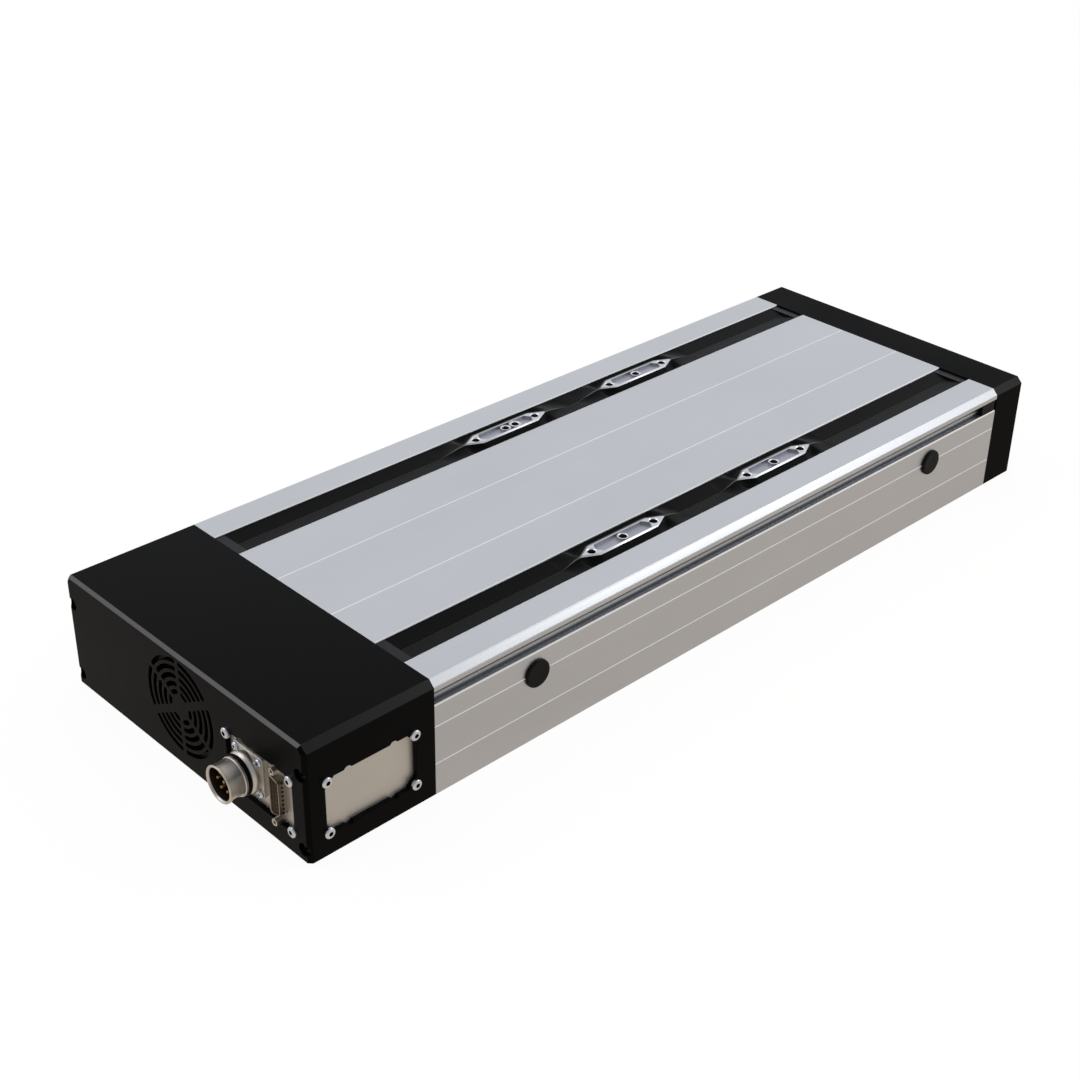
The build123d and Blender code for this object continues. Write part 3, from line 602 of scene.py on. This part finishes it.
def within_holes(face, holes):
    """Tells whether a face of a shoe is a part of one of its holes."""
    spans = [max(math.hypot(point.co.x - along, point.co.y) for point in face.verts) for along in holes]
    return min(spans) < SHOE_SINK + SLACK


def shoe(name):
    """A shoe with its tray, its bosses and its threaded holes."""
    node = f"carriage_shoe_{name}"
    low, high = box(node)
    width = high.y - low.y
    form = boat(high.x - low.x, width, SHOE_TAPER, low.z, high.z)
    rim = [edge for edge in form.edges if min(point.co.z for point in edge.verts) > high.z - HAIR]
    bevelled(form, rim, SHOE_BEVEL)
    floor_z = high.z - SHOE_TRAY_DEPTH
    tray = boat(SHOE_TRAY_LENGTH, width - 2 * SHOE_RIM, SHOE_TRAY_TAPER, floor_z, high.z + 1)
    form = carved(form, tray)
    holes = [-SHOE_HOLE_SPACING, 0, SHOE_HOLE_SPACING]
    bosses = [(0, SHOE_BOSS)]
    if name in EXTRA_HOLE:
        bosses.append(EXTRA_HOLE[name])
        holes.append(EXTRA_HOLE[name][0])
    height = SHOE_TRAY_DEPTH + SHOE_BOSS_ROOT - SHOE_BOSS_DROP
    for along, radius in bosses:
        boss = [(0, 0), (0, radius), (height, radius), (height, 0)]
        form = carved(form, upright(boss, along, floor_z - SHOE_BOSS_ROOT), "UNION")
    for along in holes:
        form = carved(form, upright(hole_tool(), along, high.z - SHOE_HOLE_DEPTH))
    bmesh.ops.remove_doubles(form, verts=form.verts, dist=0.002)
    bmesh.ops.dissolve_limit(form, angle_limit=math.radians(1), verts=form.verts, edges=form.edges)
    sink_z = high.z - SHOE_SINK_DEPTH
    for face in form.faces:
        spot = face.calc_center_median()
        lowest = min(point.co.z for point in face.verts)
        # The shoe's lower sides are black.
        if abs(face.normal.z) < 0.5 and lowest < low.z + HAIR:
            face.material_index = SIDE_FINISH
        elif within_holes(face, holes):
            face.material_index = HOLE_FINISH if lowest < sink_z - SLACK else SINK_FINISH
        elif abs(spot.x) < SHOE_TRAY_LENGTH / 2 and abs(lowest - floor_z) < SLACK:
            face.material_index = TRAY_FINISH
    bmesh.ops.translate(form, vec=((low.x + high.x) / 2, (low.y + high.y) / 2, 0), verts=form.verts)
    # The countersinks take the near-white finish: a painted highlight.
    extra = [SHOE_SIDE_BLACK, TRAY, SOCKET_DARK, EDGE_HIGHLIGHT]
    made = piece(f"shoe_{name}", form, "shoe", "carriage", [node], extra=extra, smooth=20)
    soften(made, SHOE_SOFTNESS, 50)


# Sealing lips
LIP_THICKNESS = 1.4
LIP_REACH = 12.1
LIP_FALL = 1.6
LIP_GAP = 0.12
LIP_ROWS = 8
LIP_STEP = 1.5
LIP_PLAY = 0.15
LIP_HIGHLIGHT_FINISH = 1
# Flattest and roundest arch of a lip, in radians, and the halvings between them
ARCH_ANGLES = (0.02, 2.1)
ARCH_HALVINGS = 24
# Height that a shoe lifts the lips to, and the length over which they rise before and after the shoes
NEAR_RISE = 0.9
FAR_RISE = 1.9
RISE_LENGTHS = {"near": (15.0, 15.0), "far": (23.0, 20.0)}
BLEND_MARGIN = 0.5


def smooth_step(share):
    """Eases a share in and out between 0 and 1."""
    share = min(1.0, max(0.0, share))
    return share * share * (3 - 2 * share)


def lip_arch(reach, rise, length):
    """A blade's points from its metal edge at (0, 0) to its own edge; it sags where it is pressed."""
    chord = math.hypot(reach, rise)
    tilt = math.atan2(rise, reach)
    low, high = ARCH_ANGLES
    for _ in range(ARCH_HALVINGS):
        angle = (low + high) / 2
        if math.sin(angle / 2) / (angle / 2) > chord / length:
            low = angle
        else:
            high = angle
    radius = chord / (2 * math.sin(angle / 2))
    points = []
    for row in range(LIP_ROWS + 1):
        turn = angle * (row / LIP_ROWS - 0.5)
        along = radius * math.sin(turn) + chord / 2
        up = radius * (math.cos(angle / 2) - math.cos(turn))
        points.append((
            along * math.cos(tilt) - up * math.sin(tilt),
            along * math.sin(tilt) + up * math.cos(tilt),
        ))
    return points


def lip_section(x, spans, rise_lengths, raised):
    """A lip's closed section at a place along the slot, as (distance from its edge, height)."""
    rise_length = rise_lengths[1] if x > spans[-1][1] else rise_lengths[0]
    opening = 0.0
    lift = 0.0
    for start, end in spans:
        inside = min(x - start, end - x)
        opening = max(opening, min(1.0, inside / SHOE_TAPER) * (SHOE_HALF + LIP_PLAY))
        lift = max(lift, smooth_step(1 + inside / rise_length))
    rise = -LIP_FALL + lift * (LIP_FALL + raised)
    upper = lip_arch(LIP_REACH - opening, rise, math.hypot(LIP_REACH, LIP_FALL))
    lower = []
    for row, (across, up) in enumerate(upper):
        before = upper[max(row - 1, 0)]
        after = upper[min(row + 1, LIP_ROWS)]
        length = math.hypot(after[0] - before[0], after[1] - before[1])
        lower.append((
            across + LIP_THICKNESS * (after[1] - before[1]) / length,
            up - LIP_THICKNESS * (after[0] - before[0]) / length,
        ))
    return upper + lower[::-1]


def lip_strip(name, node, edge, inward, top, places, spans, rise_lengths, raised, moves):
    """One stretch of a rubber lip, swept along the slot."""
    sections = []
    for x in places:
        section = lip_section(x, spans, rise_lengths, raised)
        sections.append([Vector((x, edge + inward * across, top + up)) for across, up in section])
    form = swept(sections)
    corner = form.verts.layers.int["corner"]
    for face in form.faces:
        # The faces along the blade's free edge take a lighter grey: a painted highlight.
        if len(face.verts) == 4 and {point[corner] for point in face.verts} == {LIP_ROWS, LIP_ROWS + 1}:
            face.material_index = LIP_HIGHLIGHT_FINISH
    body = "carriage" if moves == "carriage" else None
    made = piece(name, form, "lip_rubber", body, [node], extra=[LIP_EDGE_HIGHLIGHT], smooth=50)
    if not body:
        still, carried = (places[0], places[-1]) if moves == "end" else (places[-1], places[0])
        still * MM
        carried * MM
        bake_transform(made)


def sealing_lips(side, shoes):
    """Both lips of a slot: the stretch with the shoes rides on the carriage, and both ends stay where
    they are made.
    """
    boxes = [box(f"carriage_shoe_{name}") for name in shoes]
    centre = (boxes[0][0].y + boxes[0][1].y) / 2
    spans = [(low.x, high.x) for low, high in boxes]
    rise_lengths = RISE_LENGTHS[side]
    start = spans[0][0] - rise_lengths[0] - BLEND_MARGIN
    end = spans[-1][1] + rise_lengths[1] + BLEND_MARGIN
    steps = round((end - start) / LIP_STEP)
    moving = [start + (end - start) * n / steps for n in range(steps + 1)]
    for lip in ("outer", "inner"):
        node = f"seal_lip_{side}_{lip}"
        low, high = box(node)
        far = (low.y + high.y) / 2 > centre
        inward = -1 if far else 1
        edge = centre - inward * (LIP_REACH + LIP_GAP)
        raised = FAR_RISE if far else NEAR_RISE
        stretches = (
            ("tail", [low.x, start], "end"),
            ("middle", moving, "carriage"),
            ("head", [end, high.x], "start"),
        )
        for part, places, moves in stretches:
            name = f"lip_{side}_{lip}_{part}"
            lip_strip(name, node, edge, inward, high.z, places, spans, rise_lengths, raised, moves)


# Screws: radius and height of the head, radius and depth of the socket, domed share of the height
WINDOW_SCREW = (3.3, 1.9, 1.5, 1.1, 0.5)
CORNER_SCREW = (3.5, 4.0, 1.5, 2.0, 0.12)
FLANGE_SCREW = (2.4, 1.6, 0.9, 0.9, 0.8)
SOCKET_LAND = 0.35
SOCKET_FINISH = 1
WINDOW_SCREW_SPREADS = {"front": 27.8, "side": 29.4}
WINDOW_SCREW_RISE = 16.6
WINDOW_FROM_DATA = 15.3
CORNER_INSET = 4.9
CORNER_HEIGHTS = (7.5, 56.0)
CORNER_DEPTH = 6.0


def six_sided(form, radius):
    """Draws the points at a radius round the X axis in to a hexagon."""
    for point in form.verts:
        if abs(math.hypot(point.co.y, point.co.z) - radius) < HAIR:
            angle = math.atan2(point.co.y, point.co.z)
            corner = (angle + math.pi / 6) % (math.pi / 3) - math.pi / 6
            shrink = math.cos(math.pi / 6) / math.cos(corner)
            point.co.y *= shrink
            point.co.z *= shrink
    return form


def screw(radius, height, socket, depth, dome):
    """A domed screw head with a dark hexagon socket, its top towards +X."""
    land = socket + SOCKET_LAND
    arc = []
    for degrees in (0, 22, 45, 67, 90):
        turn = math.radians(degrees)
        along = height * (1 - dome + dome * math.sin(turn))
        arc.append((along, land + (radius - land) * math.cos(turn)))
    rim = [(0, 0), (0, radius)] + arc
    form = turned(rim + [(height, socket), (height - depth, socket), (height - depth, 0)], 24)
    for face in form.faces:
        spot = face.calc_center_median()
        if math.hypot(spot.y, spot.z) < socket and spot.x > HAIR:
            face.material_index = SOCKET_FINISH
    return six_sided(form, socket)


def window_screws():
    """The button-head screws round both windows of the motor cover."""
    cover = box("motor_cover")[0]
    front = middle("data_connector_shell").y + WINDOW_FROM_DATA
    side = middle("side_cover_plate").x
    centre_z = middle("side_cover_plate").z
    for name, across in (("front", front), ("side", side)):
        heads = []
        spread = WINDOW_SCREW_SPREADS[name]
        for wide in (-spread, spread):
            for high in (-WINDOW_SCREW_RISE, WINDOW_SCREW_RISE):
                head = screw(*WINDOW_SCREW)
                if name == "front":
                    heads.append(place(head, (cover.x, across + wide, centre_z + high), OUTWARD))
                else:
                    heads.append(place(head, (across + wide, cover.y, centre_z + high), (0, -1, 0)))
        piece(f"{name}_window_screws", gathered(heads), "steel", finish=ZINC, extra=[SOCKET_DARK])


def corner_screws():
    """The long black screws deep in the motor cover's corners."""
    low, high = box("motor_cover")
    heads = []
    for side in (-1, 1):
        for z in CORNER_HEIGHTS:
            head = screw(*CORNER_SCREW)
            heads.append(place(head, (low.x + CORNER_DEPTH, side * (high.y - CORNER_INSET), z), OUTWARD))
    finish = FINISHES["black_plastic"]
    piece("corner_screws", gathered(heads), "steel", finish=finish, extra=[SOCKET_DARK])


# Round power connector
FLANGE_THICKNESS = 3.2
FLANGE_CORNER = 2.4
FLANGE_RIM = 0.4
FLANGE_SCREW_OFFSET = 10.2
BARREL = 11.0
BORE = 9.4
BORE_FINISH = 1
RING_GROOVE = 8.8
RING_WIDTH = 2.0
RING_MIDDLE = 11.2
KEYWAY = (205, 245)
KEYWAY_SINK = 0.93
KEYWAY_START = 2.8
KEYWAY_END = 2.2
PIN_CIRCLE = 5.6
PIN_COUNT = 6


def connector_place(node):
    """Where a connector's axis meets the connector plate."""
    centre = middle(node)
    return Vector((box("connector_plate")[0].x, centre.y, centre.z))


def power_flange():
    """The square flange with rounded corners."""
    low, high = box("power_connector_shell")
    spot = connector_place("power_connector_shell")
    half = (high.y - low.y) / 2
    outline = [(0, -half, -half), (0, half, -half), (0, half, half), (0, -half, half)]
    square = prism(outline, (FLANGE_THICKNESS, 0, 0))
    corners = [edge for edge in square.edges if abs(edge.verts[0].co.x - edge.verts[1].co.x) > 1]
    bevelled(square, corners, FLANGE_CORNER, 6)
    bevelled(square, sharp_edges(square, SQUARE_EDGE), FLANGE_RIM, 2)
    flange = place(square, spot, OUTWARD)
    finish = FINISHES["bare_plate"]
    piece("power_flange", flange, "nickel", "frame", ["power_connector_shell"], finish)


def power_screws():
    """The flange's four screws."""
    spot = connector_place("power_connector_shell")
    heads = []
    for across in (-FLANGE_SCREW_OFFSET, FLANGE_SCREW_OFFSET):
        for up in (-FLANGE_SCREW_OFFSET, FLANGE_SCREW_OFFSET):
            seat = spot + Vector((-FLANGE_THICKNESS, across, up))
            heads.append(place(screw(*FLANGE_SCREW), seat, OUTWARD))
    piece("power_flange_screws", gathered(heads), "steel", finish=ZINC, extra=[SOCKET_DARK])


def power_barrel():
    """The barrel with its collar, its flat keyway and the sealing ring in its groove."""
    spot = connector_place("power_connector_shell")
    tip = spot.x - box("power_connector_shell")[0].x
    front = RING_GROOVE + RING_WIDTH
    key_start = front + KEYWAY_START
    key_end = tip - KEYWAY_END
    profile = [
        (FLANGE_THICKNESS - 0.4, 12.2), (4.2, 12.5), (5.8, 12.7), (7.2, 12.4), (8.2, 11.9),
        (RING_GROOVE, 11.2), (RING_GROOVE, 10.3), (front, 10.3), (front, 11.2),
        (front + 0.4, 11.5), (front + 1.5, 11.5),
        (front + 2.0, BARREL), (key_start - 0.1, BARREL), (key_start, BARREL), (key_end, BARREL),
        (key_end + 0.1, BARREL), (tip - 1.4, BARREL), (tip - 1.1, 11.2), (tip - 0.3, 11.2), (tip, 10.9),
        (tip, 10.1), (tip - 0.4, 9.7), (tip - 1.2, BORE), (FLANGE_THICKNESS - 0.4, BORE),
    ]
    shell = turned(profile, 96, closed=True)
    for point in shell.verts:
        reach = math.hypot(point.co.y, point.co.z)
        angle = math.degrees(math.atan2(point.co.z, point.co.y)) % 360
        flat = KEYWAY[0] < angle < KEYWAY[1] and key_start - SLACK < point.co.x < key_end + SLACK
        if flat and abs(reach - BARREL) < SLACK:
            point.co.y *= KEYWAY_SINK
            point.co.z *= KEYWAY_SINK
    # The bore wall takes a dark brown finish: painted shade.
    for face in shell.faces:
        outermost = max(math.hypot(point.co.y, point.co.z) for point in face.verts)
        if outermost < BORE + SLACK:
            face.material_index = BORE_FINISH
    piece("power_barrel", place(shell, spot, OUTWARD), "nickel", extra=[BORE_SHADE], smooth=25)
    half = RING_WIDTH / 2
    tube = []
    for degrees in range(0, 360, 30):
        turn = math.radians(degrees)
        tube.append((RING_GROOVE + half + half * math.cos(turn), RING_MIDDLE + half * math.sin(turn)))
    piece("power_ring", place(turned(tube, 64, closed=True), spot, OUTWARD), "lip_rubber")


def power_pins():
    """The pins, each with a rounded tip: one in the middle and the others round it."""
    low, high = box("power_connector_pins")
    centre = middle("power_connector_shell")
    length = high.x - low.x
    turns = [math.tau * n / PIN_COUNT for n in range(PIN_COUNT)]
    spots = [(PIN_CIRCLE * math.cos(turn), PIN_CIRCLE * math.sin(turn)) for turn in turns] + [(0, 0)]
    profile = [(0, 0), (0, 1.0), (length - 0.7, 1.0), (length - 0.2, 0.7), (length, 0.3), (length, 0)]
    pins = []
    for across, up in spots:
        pins.append(place(turned(profile, 20), (high.x, centre.y + across, centre.z + up), OUTWARD))
    piece("power_pins", gathered(pins), "contact", stands_for=["power_connector_pins"])


# Data connector
DATA_ROOT = 1.5
DATA_REACH = 5.0
DATA_HALF_WIDE = 4.2
DATA_HALF_HIGH = 12.5
DATA_SLANT = 1.4
DATA_CORNER = 1.6
DATA_WALL = 0.5
DATA_FACE = 4.3
DATA_PITCH = 2.77
DATA_ROW = 1.42
DATA_CONTACT = 0.85
DATA_SOCKET = 0.55
DIMPLE_COUNT = 8
DIMPLE_PLACE = -2.4
POST_OFFSET = 16.65
POST_RADIUS = 2.4
POST_LENGTH = 6.0


def slanted_outline():
    """The data connector's outline with rounded corners, as (point, outward direction)."""
    wide = DATA_HALF_WIDE - DATA_CORNER
    high = DATA_HALF_HIGH - DATA_CORNER
    slope = math.degrees(math.atan2(DATA_SLANT, 2 * DATA_HALF_WIDE))
    corners = (
        (wide, high, 0, 90 + slope), (-wide, high - DATA_SLANT, 90 + slope, 180),
        (-wide, DATA_SLANT - high, 180, 270 - slope), (wide, -high, 270 - slope, 360),
    )
    points = []
    for y, z, start, end in corners:
        for step in range(7):
            turn = math.radians(start + (end - start) * step / 6)
            way = Vector((0, math.cos(turn), math.sin(turn)))
            points.append((Vector((0, y, z)) + way * DATA_CORNER, way))
    return points


def data_sections(levels):
    """The outline at each (place along X, inset)."""
    origin = connector_place("data_connector_shell")
    sections = []
    for x, inset in levels:
        level = origin + Vector((x, 0, 0))
        sections.append([level + spot - way * inset for spot, way in slanted_outline()])
    return sections


def data_shell():
    """The tinned shell, its row of dimples and the block inside it."""
    shell = swept(data_sections([
        (DATA_ROOT, 0.0), (-DATA_REACH + 0.2, 0.0), (-DATA_REACH, 0.15), (-DATA_REACH, 0.4),
        (-DATA_REACH + 0.15, DATA_WALL), (DATA_ROOT, DATA_WALL),
    ]), closed=True)
    piece("data_shell", shell, "nickel", stands_for=["data_connector_shell"], finish=TINNED)
    origin = connector_place("data_connector_shell")
    dimples = []
    for n in range(DIMPLE_COUNT):
        z = (n - (DIMPLE_COUNT - 1) / 2) * DATA_PITCH
        dimple = turned([(-0.3, 0), (-0.3, 0.85), (0.1, 0.8), (0.4, 0.5), (0.5, 0)], 16)
        dimples.append(place(dimple, origin + Vector((DIMPLE_PLACE, -DATA_HALF_WIDE, z)), (0, -1, 0)))
    piece("data_dimples", gathered(dimples), "insert")
    block = swept(data_sections([(DATA_ROOT, DATA_WALL), (-DATA_FACE, DATA_WALL)]))
    piece("data_block", block, "insert", stands_for=["data_connector_insert"])


def data_sockets():
    """The contacts in two rows of eight and seven."""
    origin = connector_place("data_connector_shell")
    sockets = []
    for count, side in ((8, 1), (7, -1)):
        for n in range(count):
            socket = turned([
                (-0.3, 0), (-0.3, DATA_CONTACT), (0.15, DATA_CONTACT), (0.25, DATA_CONTACT - 0.1),
                (0.25, DATA_SOCKET), (-0.1, DATA_SOCKET), (-0.1, 0),
            ], 16)
            spot = Vector((-DATA_FACE, side * DATA_ROW, (n - (count - 1) / 2) * DATA_PITCH))
            sockets.append(place(socket, origin + spot, OUTWARD))
    # The contacts take a dark gold: painted shade.
    piece("data_sockets", gathered(sockets), "contact", stands_for=["data_contacts"], finish=CONTACT_SHADE)


def data_posts():
    """The two hexagonal jack posts."""
    origin = connector_place("data_connector_shell")
    posts = []
    for side in (-1, 1):
        post = turned([
            (-0.5, 0), (-0.5, POST_RADIUS), (POST_LENGTH - 0.3, POST_RADIUS),
            (POST_LENGTH, POST_RADIUS - 0.4), (POST_LENGTH, 1.5), (POST_LENGTH - 0.4, 1.2),
            (POST_LENGTH - 3.5, 1.2), (POST_LENGTH - 3.5, 0),
        ], 24)
        spot = origin + Vector((0, 0, side * POST_OFFSET))
        posts.append(place(six_sided(post, POST_RADIUS), spot, OUTWARD))
    finish = FINISHES["nickel"]
    piece("data_posts", gathered(posts), "steel", "frame", ["jack_posts"], finish, smooth=20)


# Plugs in the sides
PLUG_INSET = 9.5
PLUG_RADIUS = 8.8


def side_plugs():
    """The round black plugs in both sides."""
    low, high = box("side_plugs")
    face = box("base_profile")[1].y
    proud = high.y - face
    z = (low.z + high.z) / 2
    discs = []
    for side in (-1, 1):
        for x in (low.x + PLUG_INSET, high.x - PLUG_INSET):
            profile = [
                (0, 0), (0, PLUG_RADIUS), (proud - 0.9, PLUG_RADIUS),
                (proud - 0.4, PLUG_RADIUS - 0.15), (proud - 0.1, PLUG_RADIUS - 0.5),
                (proud, PLUG_RADIUS - 1.0), (proud - 0.05, PLUG_RADIUS - 2.0), (proud - 0.15, 0),
            ]
            discs.append(place(turned(profile, 64), (x, side * face, z), (0, side, 0)))
    piece("side_plug_heads", gathered(discs), "black_plastic", stands_for=["side_plugs"])


# The stage
FLOOR_HALF = 9000.0
FLOOR_DROP = 0.2
FLOOR_SHARE = 0.88
FLOOR_STRENGTH = 1.06
FLOOR_GLOW = (0.60, 0.545, 0.485, 1.0)
ROOM_LIGHT = (0.68, 0.70, 0.74, 1.0)
ROOM_REFLECTED = (0.98, 1.0, 1.04, 1.0)
LAMP_DISTANCE = 1.7


def aim_camera():
    """Sets up the camera at the photograph's place."""
    data = bpy.data.cameras.new("camera")
    data.lens = LENS
    data.sensor_width = SENSOR
    data.clip_start = 0.05
    data.clip_end = 60.0
    camera = bpy.data.objects.new("camera", data)
    bpy.context.scene.collection.objects.link(camera)
    up = -CAMERA_DOWN
    back = CAMERA_RIGHT.cross(up)
    turn = Matrix((CAMERA_RIGHT, up, back)).transposed().to_4x4()
    camera.matrix_world = Matrix.Translation(CAMERA_PLACE * MM) @ turn
    bpy.context.scene.camera = camera


def lamp(name, direction, wide, high, power, colour):
    """A soft lamp that shines on the object's middle from a direction."""
    data = bpy.data.lights.new(name, "AREA")
    data.shape = "RECTANGLE"
    data.size = wide
    data.size_y = high
    data.energy = power
    data.color = colour
    thing = bpy.data.objects.new(name, data)
    bpy.context.scene.collection.objects.link(thing)
    aim = Vector(direction).normalized()
    thing.location = aim * LAMP_DISTANCE
    thing.rotation_euler = aim.to_track_quat("Z", "Y").to_euler()
    thing.visible_camera = False


def light_paths(shader):
    """Whether a ray comes straight from the camera or through glass, and whether from a reflection."""
    path = shader.node("ShaderNodeLightPath").socket.node.outputs
    seen = Value(shader, path["Is Camera Ray"]) + Value(shader, path["Is Transmission Ray"])
    return seen, Value(shader, path["Is Glossy Ray"])


def floor():
    """A pale floor that keeps the object's shadow, and that metal reflects as a warm grey."""
    form = bmesh.new()
    bmesh.ops.create_grid(form, x_segments=1, y_segments=1, size=FLOOR_HALF)
    bmesh.ops.translate(form, vec=(0, 0, -FLOOR_DROP), verts=form.verts)
    thing = shown("floor", form)
    material = bpy.data.materials.new("pale floor")
    material.use_nodes = True
    shader = Shader(material.node_tree)
    shader.tree.nodes.clear()
    cloud = shader.noise(shader.stretched((1.0, 1.0, 1.0)), 2.0)
    paint = shader.mix(cloud, (0.74, 0.70, 0.65, 1.0), (0.78, 0.74, 0.69, 1.0))
    seen, mirrored = light_paths(shader)
    matt = shader.node("ShaderNodeBsdfDiffuse", None, {"Color": paint})
    colour = shader.mix(mirrored, WHITE, FLOOR_GLOW)
    glow = shader.node("ShaderNodeEmission", None, {"Color": colour, "Strength": FLOOR_STRENGTH})
    share = (seen + mirrored) * FLOOR_SHARE
    blend = shader.node("ShaderNodeMixShader", None, {0: share, 1: matt, 2: glow})
    shader.node("ShaderNodeOutputMaterial", None, {"Surface": blend})
    thing.data.materials.append(material)


def room():
    """White behind the object, and a darker room behind and above the camera."""
    world = bpy.data.worlds.new("studio")
    bpy.context.scene.world = world
    world.use_nodes = True
    shader = Shader(world.node_tree)
    shader.tree.nodes.clear()
    way = shader.node("ShaderNodeTexCoord", None, None, "Generated")
    forward = {0: way, 1: (0.7, 0.7, 0.0)}
    ahead = shader.node("ShaderNodeVectorMath", {"operation": "DOT_PRODUCT"}, forward, "Value")
    height = shader.node("ShaderNodeSeparateXYZ", None, {0: way}, "Z")
    wall = shader.span(ahead, -0.7, 0.2, 0.4, 1.0)
    ceiling = shader.span(height, 0.55, 0.9, 0.92, 0.6)
    reflected = shader.mix(wall * ceiling, tone(0.0), ROOM_REFLECTED)
    seen, mirrored = light_paths(shader)
    plain = shader.mix(mirrored, ROOM_LIGHT, reflected)
    colour = shader.mix(seen, plain, WHITE)
    light = shader.node("ShaderNodeBackground", None, {"Color": colour, "Strength": 1.0})
    shader.node("ShaderNodeOutputWorld", None, {"Surface": light})


def studio():
    """The stage, its lamps and the camera."""
    view = bpy.context.scene.view_settings
    view.view_transform = "Standard"
    floor()
    room()
    lamp("back lamp", (-0.55, 0.5, 0.72), 1.0, 1.0, 3.3, (0.93, 0.93, 1.0))
    lamp("side lamp", (0.62, -0.51, 0.6), 0.8, 0.45, 3.0, (1.0, 1.0, 1.0))
    aim_camera()


finish_cad_nodes()
extrusion("base_profile")
extrusion("cover_profile")
cover_skin()
for shoe_name in ("near_1", "near_2", "far_1", "far_2"):
    shoe(shoe_name)
sealing_lips("near", ("near_1", "near_2"))
sealing_lips("far", ("far_1", "far_2"))
window_screws()
corner_screws()
power_flange()
power_barrel()
power_screws()
power_pins()
data_shell()
data_sockets()
data_posts()
side_plugs()
studio()
